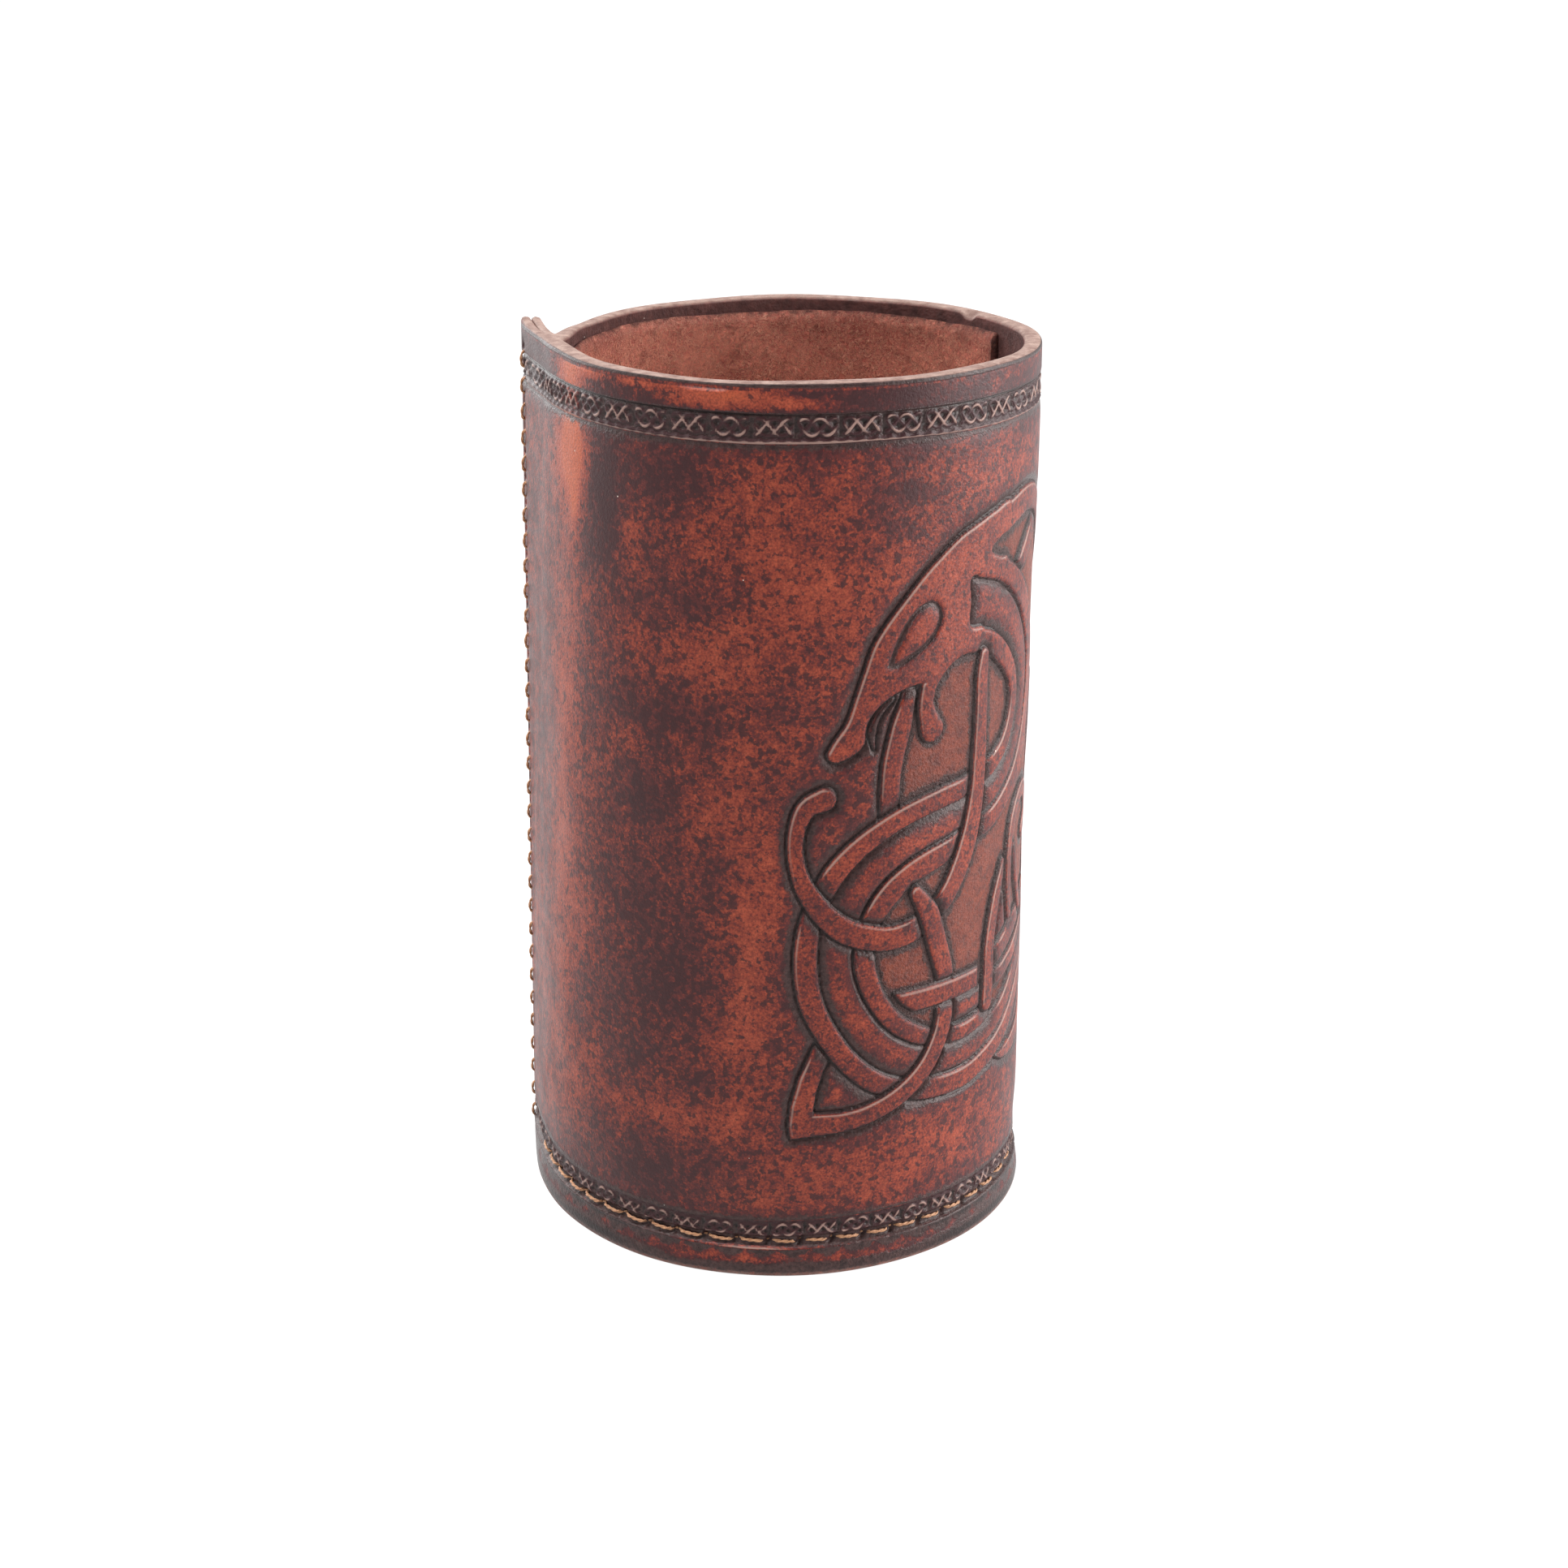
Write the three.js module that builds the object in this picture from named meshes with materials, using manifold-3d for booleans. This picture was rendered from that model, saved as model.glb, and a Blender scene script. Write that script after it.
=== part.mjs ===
// A free-standing leather dice cup: one sheet of thick tooled leather bent into a round wall, its two
// thinned ends turned outward, pressed together and sewn into a seam that lies along the wall. A shaped
// leather base is sewn in near the bottom edge, and the inside is lined.
// Millimetres, +Z up. The cup rests on the bottom edge of its wall, at z = 0.

import * as THREE from 'three';
import Module from 'manifold-3d';

const wasm = await Module();
wasm.setup();

// ---------------------------------------------------------------- driving dimensions

const HEIGHT = 138;
const WALL = 2.7;
const SKIVED = 1.4; // thickness of each end of the wall's sheet where it is thinned for the seam
const SEAM_GAP = 0.3;

// The wall's outline from above is a circle that turns into the seam at the left. It is wider at the
// base, where the round base holds it open, than at the rim. Angles and headings are in degrees.
const BASE = {
  centreX: -1.0,
  radius: 39.0,
  tail: new THREE.Vector2(-42.3, 9.0), // outer corner of the seam's front layer
  heading: 95, // direction in which the seam points
  flange: 3.2, // length over which the two layers lie face to face
  fold: 4.0, // length of the wedge-shaped fold behind them
  approach: { distance: 1.2, depth: 4.3, thickness: 1.5, heading: 268 }, // of the back of the wall
  arrival: 240, // direction in which the back of the wall reaches the seam
};
const RIM = {
  centreX: 2.2,
  radius: 36.5,
  tail: new THREE.Vector2(-40.6, 11.1),
  heading: 106.5,
  flange: 9.5,
  fold: 5.8,
  approach: { distance: 3.9, depth: 6.9, thickness: 2.6, heading: 246 },
  arrival: 254,
};
const ARC_START = 205; // where the front of the wall becomes round
const ARC_END = 512; // where the back of the wall stops being round, after going past 360
const ARC_STEPS = 56;

const STITCH_HEIGHT = 5.7;
const STITCH_PITCH = 7.417; // degrees between the holes of the base seam
const FIRST_STITCH = 186;
const BASE_HOLES = 45;
const GROOVE_DEPTH = 0.5;
const GROOVE_WIDTH = 1.4;

const SEAM_INSET = 1.6; // from the seam's outer edge to its stitches
const SEAM_FIRST_HOLE = 3.4;
const SEAM_PITCH = 4.1;
const SEAM_HOLES = 33;

const THREAD_RADIUS = 0.38;
const THREAD_CLEARANCE = 0.2;
const HOLE_LENGTH = 2.4;
const HOLE_WIDTH = 1.3;

const FIT = 0.3; // space between pieces that touch
const LINING = 0.9;
const LINING_DROP = 2.2; // bare leather between the lining and the rim
const LINING_START = 23;
const LINING_END = 348;
const LINING_STEPS = 54;

const FLOOR_TOP = 9.4;
const BASE_LEATHER = 2.5;
const BASE_LIFT = 0.6;
const PAD = 1.0;

// ---------------------------------------------------------------- helpers

const radians = THREE.MathUtils.degToRad;
const WALL_LEAN = (RIM.centreX - BASE.centreX) / HEIGHT;

function step(from, heading, distance) {
  const x = from.x + distance * Math.cos(radians(heading));
  const y = from.y + distance * Math.sin(radians(heading));
  return new THREE.Vector2(x, y);
}

function onCircle(end, angle, inset) {
  return step(new THREE.Vector2(end.centreX, 0), angle, end.radius - inset);
}

function bend(from, headingFrom, to, headingTo) {
  const reach = from.distanceTo(to) / 3;
  const leave = step(from, headingFrom, reach);
  const arrive = step(to, headingTo + 180, reach);
  return new THREE.CubicBezierCurve(from, leave, arrive, to);
}

function solid(geometry) {
  const numbers = geometry.attributes.position.array;
  const vertProperties = new Float32Array(numbers);
  const triVerts = new Uint32Array(geometry.index.array);
  return new wasm.Manifold(new wasm.Mesh({ numProp: 3, vertProperties, triVerts }));
}

function geometryOf(manifold) {
  const mesh = manifold.getMesh();
  const geometry = new THREE.BufferGeometry();
  geometry.setAttribute('position', new THREE.Float32BufferAttribute(mesh.vertProperties, 3));
  geometry.setIndex(Array.from(mesh.triVerts));
  return geometry;
}

function indexed(vertices, triangles) {
  const numbers = vertices.flatMap((v) => [v.x, v.y, v.z]);
  const geometry = new THREE.BufferGeometry();
  geometry.setAttribute('position', new THREE.Float32BufferAttribute(numbers, 3));
  geometry.setIndex(triangles.flat());
  return geometry;
}

// A closed tube with flat ends through the given points, with an upright hexagonal or square section.
function tube(points, radius, sides, upright) {
  const vertices = [];
  const triangles = [];
  points.forEach((point, i) => {
    const before = points[Math.max(i - 1, 0)];
    const after = points[Math.min(i + 1, points.length - 1)];
    const along = after.clone().sub(before).normalize();
    const across = along.clone().cross(upright).normalize();
    const up = across.clone().cross(along);
    for (let k = 0; k < sides; k += 1) {
      const turn = (2 * Math.PI * (k + 0.5)) / sides;
      const offset = across.clone().multiplyScalar(radius * Math.cos(turn));
      offset.addScaledVector(up, radius * Math.sin(turn));
      vertices.push(point.clone().add(offset));
    }
  });
  const last = (points.length - 1) * sides;
  for (let i = 0; i < last; i += sides) {
    for (let k = 0; k < sides; k += 1) {
      const next = (k + 1) % sides;
      triangles.push([i + k, i + sides + k, i + sides + next], [i + k, i + sides + next, i + next]);
    }
  }
  for (let k = 1; k < sides - 1; k += 1) {
    triangles.push([0, k, k + 1], [last, last + k + 1, last + k]);
  }
  return indexed(vertices, triangles);
}

// A sheet that stands on edge: stations run along it, each with an outer and an inner point.
function standingSheet(levels) {
  const count = levels[0].outer.length;
  const vertices = [];
  const triangles = [];
  levels.forEach(({ z, outer, inner }) => {
    outer.forEach((p) => vertices.push(new THREE.Vector3(p.x, p.y, z)));
    inner.forEach((p) => vertices.push(new THREE.Vector3(p.x, p.y, z)));
  });
  const quad = (a, b, c, d) => triangles.push([a, b, c], [a, c, d]);
  const at = (level, i, side) => (2 * level + side) * count + i;
  const top = levels.length - 1;
  for (let i = 0; i < count - 1; i += 1) {
    for (let level = 0; level < top; level += 1) {
      quad(at(level, i, 0), at(level, i + 1, 0), at(level + 1, i + 1, 0), at(level + 1, i, 0));
      quad(at(level, i, 1), at(level + 1, i, 1), at(level + 1, i + 1, 1), at(level, i + 1, 1));
    }
    quad(at(0, i, 0), at(0, i, 1), at(0, i + 1, 1), at(0, i + 1, 0));
    quad(at(top, i, 0), at(top, i + 1, 0), at(top, i + 1, 1), at(top, i, 1));
  }
  const end = count - 1;
  for (let level = 0; level < top; level += 1) {
    quad(at(level, 0, 0), at(level + 1, 0, 0), at(level + 1, 0, 1), at(level, 0, 1));
    quad(at(level, end, 0), at(level, end, 1), at(level + 1, end, 1), at(level + 1, end, 0));
  }
  return indexed(vertices, triangles);
}

// ---------------------------------------------------------------- outline of the wall

// The front end of the sheet, with points measured from the seam's edge and sunk below its outer face.
function frontEnd(end) {
  const round = onCircle(end, ARC_START, 0);
  const curve = bend(end.tail, end.heading + 180, round, ARC_START + 90);
  curve.arcLengthDivisions = 400;
  const length = curve.getLength();
  const at = (distance, depth) => {
    const point = curve.getPointAt(distance / length);
    const tangent = curve.getTangentAt(distance / length);
    return new THREE.Vector2(point.x - tangent.y * depth, point.y + tangent.x * depth);
  };
  const thickness = (distance) => {
    const blend = THREE.MathUtils.smoothstep(distance, end.flange, end.flange + end.fold);
    return SKIVED + (WALL - SKIVED) * blend;
  };
  return { length, at, thickness };
}

function wallOutline(end) {
  const outer = [];
  const inner = [];
  const front = frontEnd(end);
  const folded = end.flange + end.fold;

  const distances = [0, SEAM_INSET, end.flange, end.flange + end.fold / 2, folded];
  const rest = front.length - folded;
  for (let k = 1; k < 6; k += 1) distances.push(folded + (rest * k) / 6);
  distances.forEach((distance) => {
    outer.push(front.at(distance, 0));
    inner.push(front.at(distance, front.thickness(distance)));
  });

  for (let k = 0; k <= ARC_STEPS; k += 1) {
    const angle = ARC_START + ((ARC_END - ARC_START) * k) / ARC_STEPS;
    outer.push(onCircle(end, angle, 0));
    inner.push(onCircle(end, angle, WALL));
  }

  const backDepth = 2 * SKIVED + SEAM_GAP;
  const behind = (distance) => front.at(distance, front.thickness(distance) + SEAM_GAP);
  const roundHeading = ARC_END + 90;
  const cleft = front.at(end.flange, backDepth);
  const { distance: near, depth, thickness, heading } = end.approach;
  const outerNear = front.at(near, depth);
  const innerNear = front.at(near, depth + thickness);
  const stretches = [
    [
      bend(onCircle(end, ARC_END, 0), roundHeading, outerNear, heading),
      bend(onCircle(end, ARC_END, WALL), roundHeading, innerNear, heading),
    ],
    [bend(outerNear, heading, cleft, end.arrival), bend(innerNear, heading, behind(folded), heading)],
  ];
  stretches.forEach(([outerCurve, innerCurve]) => {
    for (let k = 1; k <= 3; k += 1) {
      outer.push(outerCurve.getPoint(k / 3));
      inner.push(innerCurve.getPoint(k / 3));
    }
  });
  const layered = [
    [0.96, end.flange + end.fold / 2],
    [0.9, end.flange],
    [0.5, end.flange / 2],
    [0, 0],
  ];
  layered.forEach(([share, distance]) => {
    outer.push(front.at(end.flange * share, backDepth));
    inner.push(behind(distance));
  });
  return { outer, inner };
}

const atBase = wallOutline(BASE);
const atRim = wallOutline(RIM);
const GROOVE_FROM = 5; // stations of the outline that the stitching groove runs over
const GROOVE_TO = 10 + ARC_STEPS + 2;

function wallLevel(z, grooved) {
  const share = z / HEIGHT;
  const centre = new THREE.Vector2(BASE.centreX + WALL_LEAN * z, 0);
  const mix = (side) => atBase[side].map((p, i) => p.clone().lerp(atRim[side][i], share));
  const outer = mix('outer');
  if (grooved) {
    for (let i = GROOVE_FROM; i <= GROOVE_TO; i += 1) {
      const inward = centre.clone().sub(outer[i]).setLength(GROOVE_DEPTH);
      outer[i].add(inward);
    }
  }
  return { z, outer, inner: mix('inner') };
}

// ---------------------------------------------------------------- stitches

// A slanted slit through the leather, as a pricking iron leaves it.
function slit(from, to, upright) {
  const geometry = tube([from, to], 1, 4, upright);
  const along = to.clone().sub(from).normalize();
  const across = along.clone().cross(upright).normalize();
  const numbers = geometry.attributes.position;
  for (let i = 0; i < numbers.count; i += 1) {
    const p = new THREE.Vector3().fromBufferAttribute(numbers, i);
    const foot = i < 4 ? from : to;
    const offset = p.clone().sub(foot);
    const side = offset.dot(across);
    const rise = offset.dot(upright);
    p.copy(foot).addScaledVector(across, ((side + rise) * HOLE_LENGTH) / 2 / Math.SQRT2);
    p.addScaledVector(upright, ((rise - side) * HOLE_WIDTH) / 2 / Math.SQRT2);
    numbers.setXYZ(i, p.x, p.y, p.z);
  }
  return geometry;
}

// One thread that goes through every hole twice, so that it runs between all the holes on both faces.
// It is a ladder of square section: a run along the front, a run along the back, a leg in each hole.
function saddleStitch({ fronts, backs }) {
  const vertices = [];
  const triangles = [];
  const count = fronts.length;
  const SIGNS = [-1, 1];

  const corner = (run, hole, along, inward, side) => 16 * hole + 8 * run + 4 * along + 2 * inward + side;
  for (let hole = 0; hole < count; hole += 1) {
    const before = fronts[Math.max(hole - 1, 0)];
    const after = fronts[Math.min(hole + 1, count - 1)];
    const forward = after.clone().sub(before).normalize();
    const leg = backs[hole].clone().sub(fronts[hole]).normalize();
    const sideways = forward.clone().cross(leg).normalize();
    [fronts, backs].forEach((points, run) => {
      SIGNS.forEach((along) => {
        SIGNS.forEach((inward) => {
          SIGNS.forEach((side) => {
            const vertex = points[hole].clone().addScaledVector(forward, along * THREAD_RADIUS);
            vertex.addScaledVector(leg, (run === 0 ? inward : -inward) * THREAD_RADIUS);
            vertices.push(vertex.addScaledVector(sideways, side * THREAD_RADIUS));
          });
        });
      });
    });
  }

  const quad = (a, b, c, d, flip) => {
    const [second, fourth] = flip ? [d, b] : [b, d];
    triangles.push([a, second, c], [a, c, fourth]);
  };
  // One stretch of a run, from one set of four corners to the next, with or without its inner face.
  const stretch = (run, from, fromAlong, to, toAlong, closed) => {
    const start = (inward, side) => corner(run, from, fromAlong, inward, side);
    const end = (inward, side) => corner(run, to, toAlong, inward, side);
    const flip = run === 0;
    quad(start(0, 0), start(0, 1), end(0, 1), end(0, 0), flip);
    quad(start(0, 1), start(1, 1), end(1, 1), end(0, 1), flip);
    quad(start(1, 0), start(0, 0), end(0, 0), end(1, 0), flip);
    if (closed) quad(start(1, 1), start(1, 0), end(1, 0), end(1, 1), flip);
  };
  for (let hole = 0; hole < count; hole += 1) {
    for (let run = 0; run < 2; run += 1) {
      stretch(run, hole, 0, hole, 1, false);
      if (hole < count - 1) stretch(run, hole, 1, hole + 1, 0, true);
    }
    const top = (along, side) => corner(0, hole, along, 1, side);
    const foot = (along, side) => corner(1, hole, along, 1, side);
    quad(top(0, 0), foot(0, 0), foot(0, 1), top(0, 1), true);
    quad(top(1, 1), foot(1, 1), foot(1, 0), top(1, 0), true);
    quad(top(0, 1), foot(0, 1), foot(1, 1), top(1, 1), true);
    quad(top(1, 0), foot(1, 0), foot(0, 0), top(0, 0), true);
  }
  for (let run = 0; run < 2; run += 1) {
    const start = (inward, side) => corner(run, 0, 0, inward, side);
    const end = (inward, side) => corner(run, count - 1, 1, inward, side);
    quad(start(0, 0), start(1, 0), start(1, 1), start(0, 1), run === 0);
    quad(end(0, 0), end(0, 1), end(1, 1), end(1, 0), run === 0);
  }
  return indexed(vertices, triangles);
}

const UP = new THREE.Vector3(0, 0, 1);
const RUN_OFFSET = THREAD_RADIUS + THREAD_CLEARANCE;

function baseStitchPoints() {
  const { outer } = wallLevel(STITCH_HEIGHT, true);
  const centre = new THREE.Vector2(BASE.centreX + WALL_LEAN * STITCH_HEIGHT, 0);
  const fronts = [];
  const backs = [];
  for (let k = 0; k < BASE_HOLES; k += 1) {
    const angle = radians(FIRST_STITCH + STITCH_PITCH * k);
    const direction = new THREE.Vector2(Math.cos(angle), Math.sin(angle));
    const distances = outer.slice(GROOVE_FROM, GROOVE_TO + 1).map((p) => {
      const away = p.clone().sub(centre);
      return { miss: away.clone().normalize().distanceTo(direction), reach: away.length() };
    });
    distances.sort((a, b) => a.miss - b.miss);
    const place = (radius) => {
      const spot = centre.clone().addScaledVector(direction, radius);
      return new THREE.Vector3(spot.x, spot.y, STITCH_HEIGHT);
    };
    fronts.push(place(Math.max(distances[0].reach, distances[1].reach) + RUN_OFFSET));
    backs.push(place(BASE.radius - WALL - 2 * FIT - BASE_LEATHER - RUN_OFFSET));
  }
  return { fronts, backs };
}

function seamStitchPoints() {
  const ends = [BASE, RIM].map((end) => {
    const front = frontEnd(end);
    const behind = 2 * SKIVED + SEAM_GAP + RUN_OFFSET;
    return [front.at(SEAM_INSET, -RUN_OFFSET), front.at(SEAM_INSET, behind)];
  });
  const fronts = [];
  const backs = [];
  for (let k = 0; k < SEAM_HOLES; k += 1) {
    const z = HEIGHT - SEAM_FIRST_HOLE - SEAM_PITCH * k;
    const [front, back] = [0, 1].map((side) => ends[0][side].clone().lerp(ends[1][side], z / HEIGHT));
    fronts.push(new THREE.Vector3(front.x, front.y, z));
    backs.push(new THREE.Vector3(back.x, back.y, z));
  }
  return { fronts, backs };
}

const baseStitches = baseStitchPoints();
const seamStitches = seamStitchPoints();

function cutSlits(body, stitches) {
  let cut = body;
  stitches.fronts.forEach((front, i) => {
    cut = cut.subtract(solid(slit(front, stitches.backs[i], UP)));
  });
  return cut;
}

// ---------------------------------------------------------------- pieces

function outerWall() {
  const low = STITCH_HEIGHT - GROOVE_WIDTH / 2;
  const high = STITCH_HEIGHT + GROOVE_WIDTH / 2;
  const levels = [
    wallLevel(0, false),
    wallLevel(low - 0.3, false),
    wallLevel(low, true),
    wallLevel(high, true),
    wallLevel(high + 0.3, false),
    wallLevel(HEIGHT, false),
  ];
  const wall = solid(standingSheet(levels));
  return geometryOf(cutSlits(cutSlits(wall, baseStitches), seamStitches));
}

function wallLining() {
  const level = (z) => {
    const radius = THREE.MathUtils.lerp(BASE.radius, RIM.radius, z / HEIGHT);
    const end = { centreX: BASE.centreX + WALL_LEAN * z, radius: radius - WALL - FIT };
    const outer = [];
    const inner = [];
    for (let k = 0; k <= LINING_STEPS; k += 1) {
      const angle = LINING_START + ((LINING_END - LINING_START) * k) / LINING_STEPS;
      outer.push(onCircle(end, angle, 0));
      inner.push(onCircle(end, angle, LINING));
    }
    return { z, outer, inner };
  };
  return standingSheet([level(FLOOR_TOP + FIT), level(HEIGHT - LINING_DROP)]);
}

// Round pieces are turned about the vertical and then lean with the wall's centre line.
function turned(profile, segments) {
  const vertices = [];
  const triangles = [];
  const last = profile.length - 1;
  vertices.push(new THREE.Vector3(0, 0, profile[0][1]));
  for (let k = 0; k < segments; k += 1) {
    const angle = (2 * Math.PI * k) / segments;
    for (let i = 1; i < last; i += 1) {
      const [radius, z] = profile[i];
      vertices.push(new THREE.Vector3(radius * Math.cos(angle), radius * Math.sin(angle), z));
    }
  }
  vertices.push(new THREE.Vector3(0, 0, profile[last][1]));
  const rows = last - 1;
  const at = (k, i) => 1 + (k % segments) * rows + i;
  const end = vertices.length - 1;
  for (let k = 0; k < segments; k += 1) {
    triangles.push([0, at(k, 0), at(k + 1, 0)]);
    for (let i = 0; i < rows - 1; i += 1) {
      triangles.push([at(k, i), at(k, i + 1), at(k + 1, i + 1)], [at(k, i), at(k + 1, i + 1), at(k + 1, i)]);
    }
    triangles.push([at(k, rows - 1), end, at(k + 1, rows - 1)]);
  }
  vertices.forEach((v) => v.setX(v.x + BASE.centreX + WALL_LEAN * v.z));
  return indexed(vertices, triangles);
}

function baseDish() {
  const outer = BASE.radius - WALL - 2 * FIT;
  const inner = outer - BASE_LEATHER;
  const under = FLOOR_TOP - BASE_LEATHER;
  const profile = [
    [0, FLOOR_TOP],
    [outer - 1.8, FLOOR_TOP],
    [outer - 0.5, FLOOR_TOP - 0.5],
    [outer, FLOOR_TOP - 1.8],
    [outer, BASE_LIFT],
    [inner, BASE_LIFT],
    [inner, under],
    [0, under],
  ];
  return geometryOf(cutSlits(solid(turned(profile, 60)), baseStitches));
}

function floorPad() {
  const radius = BASE.radius - WALL - 3 * FIT - LINING - 0.4;
  const low = FLOOR_TOP + FIT;
  const profile = [
    [0, low + PAD],
    [radius, low + PAD],
    [radius, low],
    [0, low],
  ];
  return turned(profile, 60);
}

const leather = { metalness: 0 };
const MATERIALS = {
  tooled: new THREE.MeshStandardMaterial({ color: 0x7c3524, roughness: 0.42, ...leather }),
  plain: new THREE.MeshStandardMaterial({ color: 0x6a3222, roughness: 0.55, ...leather }),
  suede: new THREE.MeshStandardMaterial({ color: 0x86442f, roughness: 0.9, ...leather }),
  linen: new THREE.MeshStandardMaterial({ color: 0xc08040, roughness: 0.75, ...leather }),
};

const cup = new THREE.Group();

function addPiece(name, geometry, material) {
  const mesh = new THREE.Mesh(geometry, material);
  mesh.name = name;
  cup.add(mesh);
}

addPiece('outer_wall', outerWall(), MATERIALS.tooled);
addPiece('wall_lining', wallLining(), MATERIALS.suede);
addPiece('base_dish', baseDish(), MATERIALS.plain);
addPiece('floor_pad', floorPad(), MATERIALS.suede);
addPiece('seam_thread', saddleStitch(seamStitches), MATERIALS.linen);
addPiece('base_thread', saddleStitch(baseStitches), MATERIALS.linen);

// The origin is the middle of the cup's box, on the surface that it stands on.
const box = new THREE.Box3().setFromObject(cup);
const middle = box.getCenter(new THREE.Vector3());
cup.position.set(-middle.x, -middle.y, 0);

const assembly = new THREE.Group();
assembly.add(cup);

export default assembly;
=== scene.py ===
"""Looks of the leather dice cup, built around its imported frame.

The wall is one finely meshed sheet: its carved hound, its two stamped borders, the stitching groove
and its worn rim are all real relief. Lengths inside this script are millimetres, in the wall's own
axes; they are turned into metres and moved into the frame when a mesh is made.
"""

import math

import bpy
import numpy as np
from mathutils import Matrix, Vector


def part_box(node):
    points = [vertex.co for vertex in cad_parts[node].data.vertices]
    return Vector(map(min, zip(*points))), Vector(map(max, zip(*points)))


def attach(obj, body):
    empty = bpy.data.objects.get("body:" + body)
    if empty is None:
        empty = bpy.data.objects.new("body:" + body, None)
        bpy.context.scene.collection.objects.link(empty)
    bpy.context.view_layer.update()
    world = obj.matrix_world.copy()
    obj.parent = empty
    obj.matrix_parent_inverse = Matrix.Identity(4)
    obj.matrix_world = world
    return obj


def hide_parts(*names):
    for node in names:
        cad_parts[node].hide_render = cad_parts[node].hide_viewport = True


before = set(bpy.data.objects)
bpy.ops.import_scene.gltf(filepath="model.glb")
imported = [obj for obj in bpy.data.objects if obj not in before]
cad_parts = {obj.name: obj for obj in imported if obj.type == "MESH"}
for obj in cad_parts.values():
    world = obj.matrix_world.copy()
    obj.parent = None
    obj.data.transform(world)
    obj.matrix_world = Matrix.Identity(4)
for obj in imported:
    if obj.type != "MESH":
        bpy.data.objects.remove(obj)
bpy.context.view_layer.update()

MM = 0.001

# ------------------------------------------------------------------ dimensions of the wall

HEIGHT = 138.0
WALL = 2.7
SEAM_GAP = 0.06
SKIVED = (3.1 - SEAM_GAP) / 2

BASE = {
    "centre": -1.0, "radius": 39.0, "tail": (-42.3, 9.0), "heading": 95, "flange": 3.2, "fold": 4.0,
    "near": 1.2, "depth": 4.3, "thickness": 1.5, "approach": 268, "arrival": 240,
}
RIM = {
    "centre": 2.2, "radius": 36.5, "tail": (-40.6, 11.1), "heading": 106.5, "flange": 9.5, "fold": 5.8,
    "near": 3.9, "depth": 6.9, "thickness": 2.6, "approach": 246, "arrival": 254,
}
ARC_START, ARC_END = 205.0, 512.0
NOMINAL = 37.7  # radius at which distances round the wall are measured
FRONT = 270.0  # the angle that distances round the wall start from

RIM_BAND = 133.4  # lower edge of the plain band under the rim
TOP_BORDER = 129.5
LOW_BORDER = 9.2
GROOVE_TOP = 6.5
GROOVE_LOW = 4.7
STITCH_HEIGHT = 5.7
STITCH_PITCH = 7.417
FIRST_STITCH = 186.0
BASE_HOLES = 45
SEAM_INSET = 1.6
SEAM_FIRST_HOLE = 3.4
SEAM_PITCH = 4.1
SEAM_HOLES = 33

wall_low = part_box("outer_wall")[0]
dish_low, dish_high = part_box("base_dish")
# From the wall's own axes to the frame's: the seam's edge and the middle of the base give the offset.
SHIFT = np.array([wall_low[0] / MM - BASE["tail"][0], (dish_low[1] + dish_high[1]) / 2 / MM, 0.0])


# ------------------------------------------------------------------ small tools

def smoothstep(value, start, end):
    t = np.clip((np.asarray(value, float) - start) / (end - start), 0, 1)
    return t * t * (3 - 2 * t)


def fade(distance, width, power=2):
    """1 at no distance, falling away smoothly over the width."""
    return np.exp(-(distance / width) ** power)


def unit(vectors):
    """The same directions at length 1."""
    return vectors / np.linalg.norm(vectors, axis=-1, keepdims=True)


def step(point, heading, distance):
    angle = np.radians(heading)
    return np.asarray(point, float) + np.stack([np.cos(angle), np.sin(angle)], -1) * np.asarray(distance)


def on_circle(end, angle, inset):
    angle = np.radians(np.asarray(angle, float))
    radius = end["radius"] - inset
    return np.stack([end["centre"] + radius * np.cos(angle), radius * np.sin(angle)], -1)


class Bend:
    """A smooth curve between two points with given headings."""

    def __init__(self, start, start_heading, end, end_heading):
        reach = np.hypot(*(np.asarray(end) - np.asarray(start))) / 3
        self.points = [np.asarray(start, float), step(start, start_heading, reach),
                       step(end, end_heading + 180, reach), np.asarray(end, float)]
        samples = self.at(np.linspace(0, 1, 801))
        lengths = np.hypot(*np.diff(samples, axis=0).T)
        self.travelled = np.concatenate([[0], np.cumsum(lengths)])
        self.length = self.travelled[-1]

    def at(self, t):
        t = np.asarray(t, float)[..., None]
        a, b, c, d = self.points
        return a * (1 - t) ** 3 + 3 * b * t * (1 - t) ** 2 + 3 * c * t * t * (1 - t) + d * t ** 3

    def slope(self, t):
        t = np.asarray(t, float)[..., None]
        a, b, c, d = self.points
        return (b - a) * (1 - t) ** 2 + 2 * (c - b) * t * (1 - t) + (d - c) * t * t

    def sunk(self, distance, depth):
        """The point that far along, moved by depth to the left of the way the curve runs."""
        t = np.interp(distance, self.travelled, np.linspace(0, 1, 801))
        tangent = unit(self.slope(t))
        left = np.stack([-tangent[..., 1], tangent[..., 0]], -1)
        return self.at(t) + left * np.asarray(depth)[..., None]


def mesh_object(name, vertices, faces):
    mesh = bpy.data.meshes.new(name)
    placed = (np.asarray(vertices, float) + SHIFT) * MM
    mesh.from_pydata(placed.tolist(), [], faces)
    mesh.update()
    mesh.shade_smooth()
    obj = bpy.data.objects.new(name, mesh)
    bpy.context.collection.objects.link(obj)
    return obj


def add_attribute(obj, name, values):
    layer = obj.data.attributes.new(name, "FLOAT", "POINT")
    layer.data.foreach_set("value", np.asarray(values, np.float32).ravel())


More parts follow.
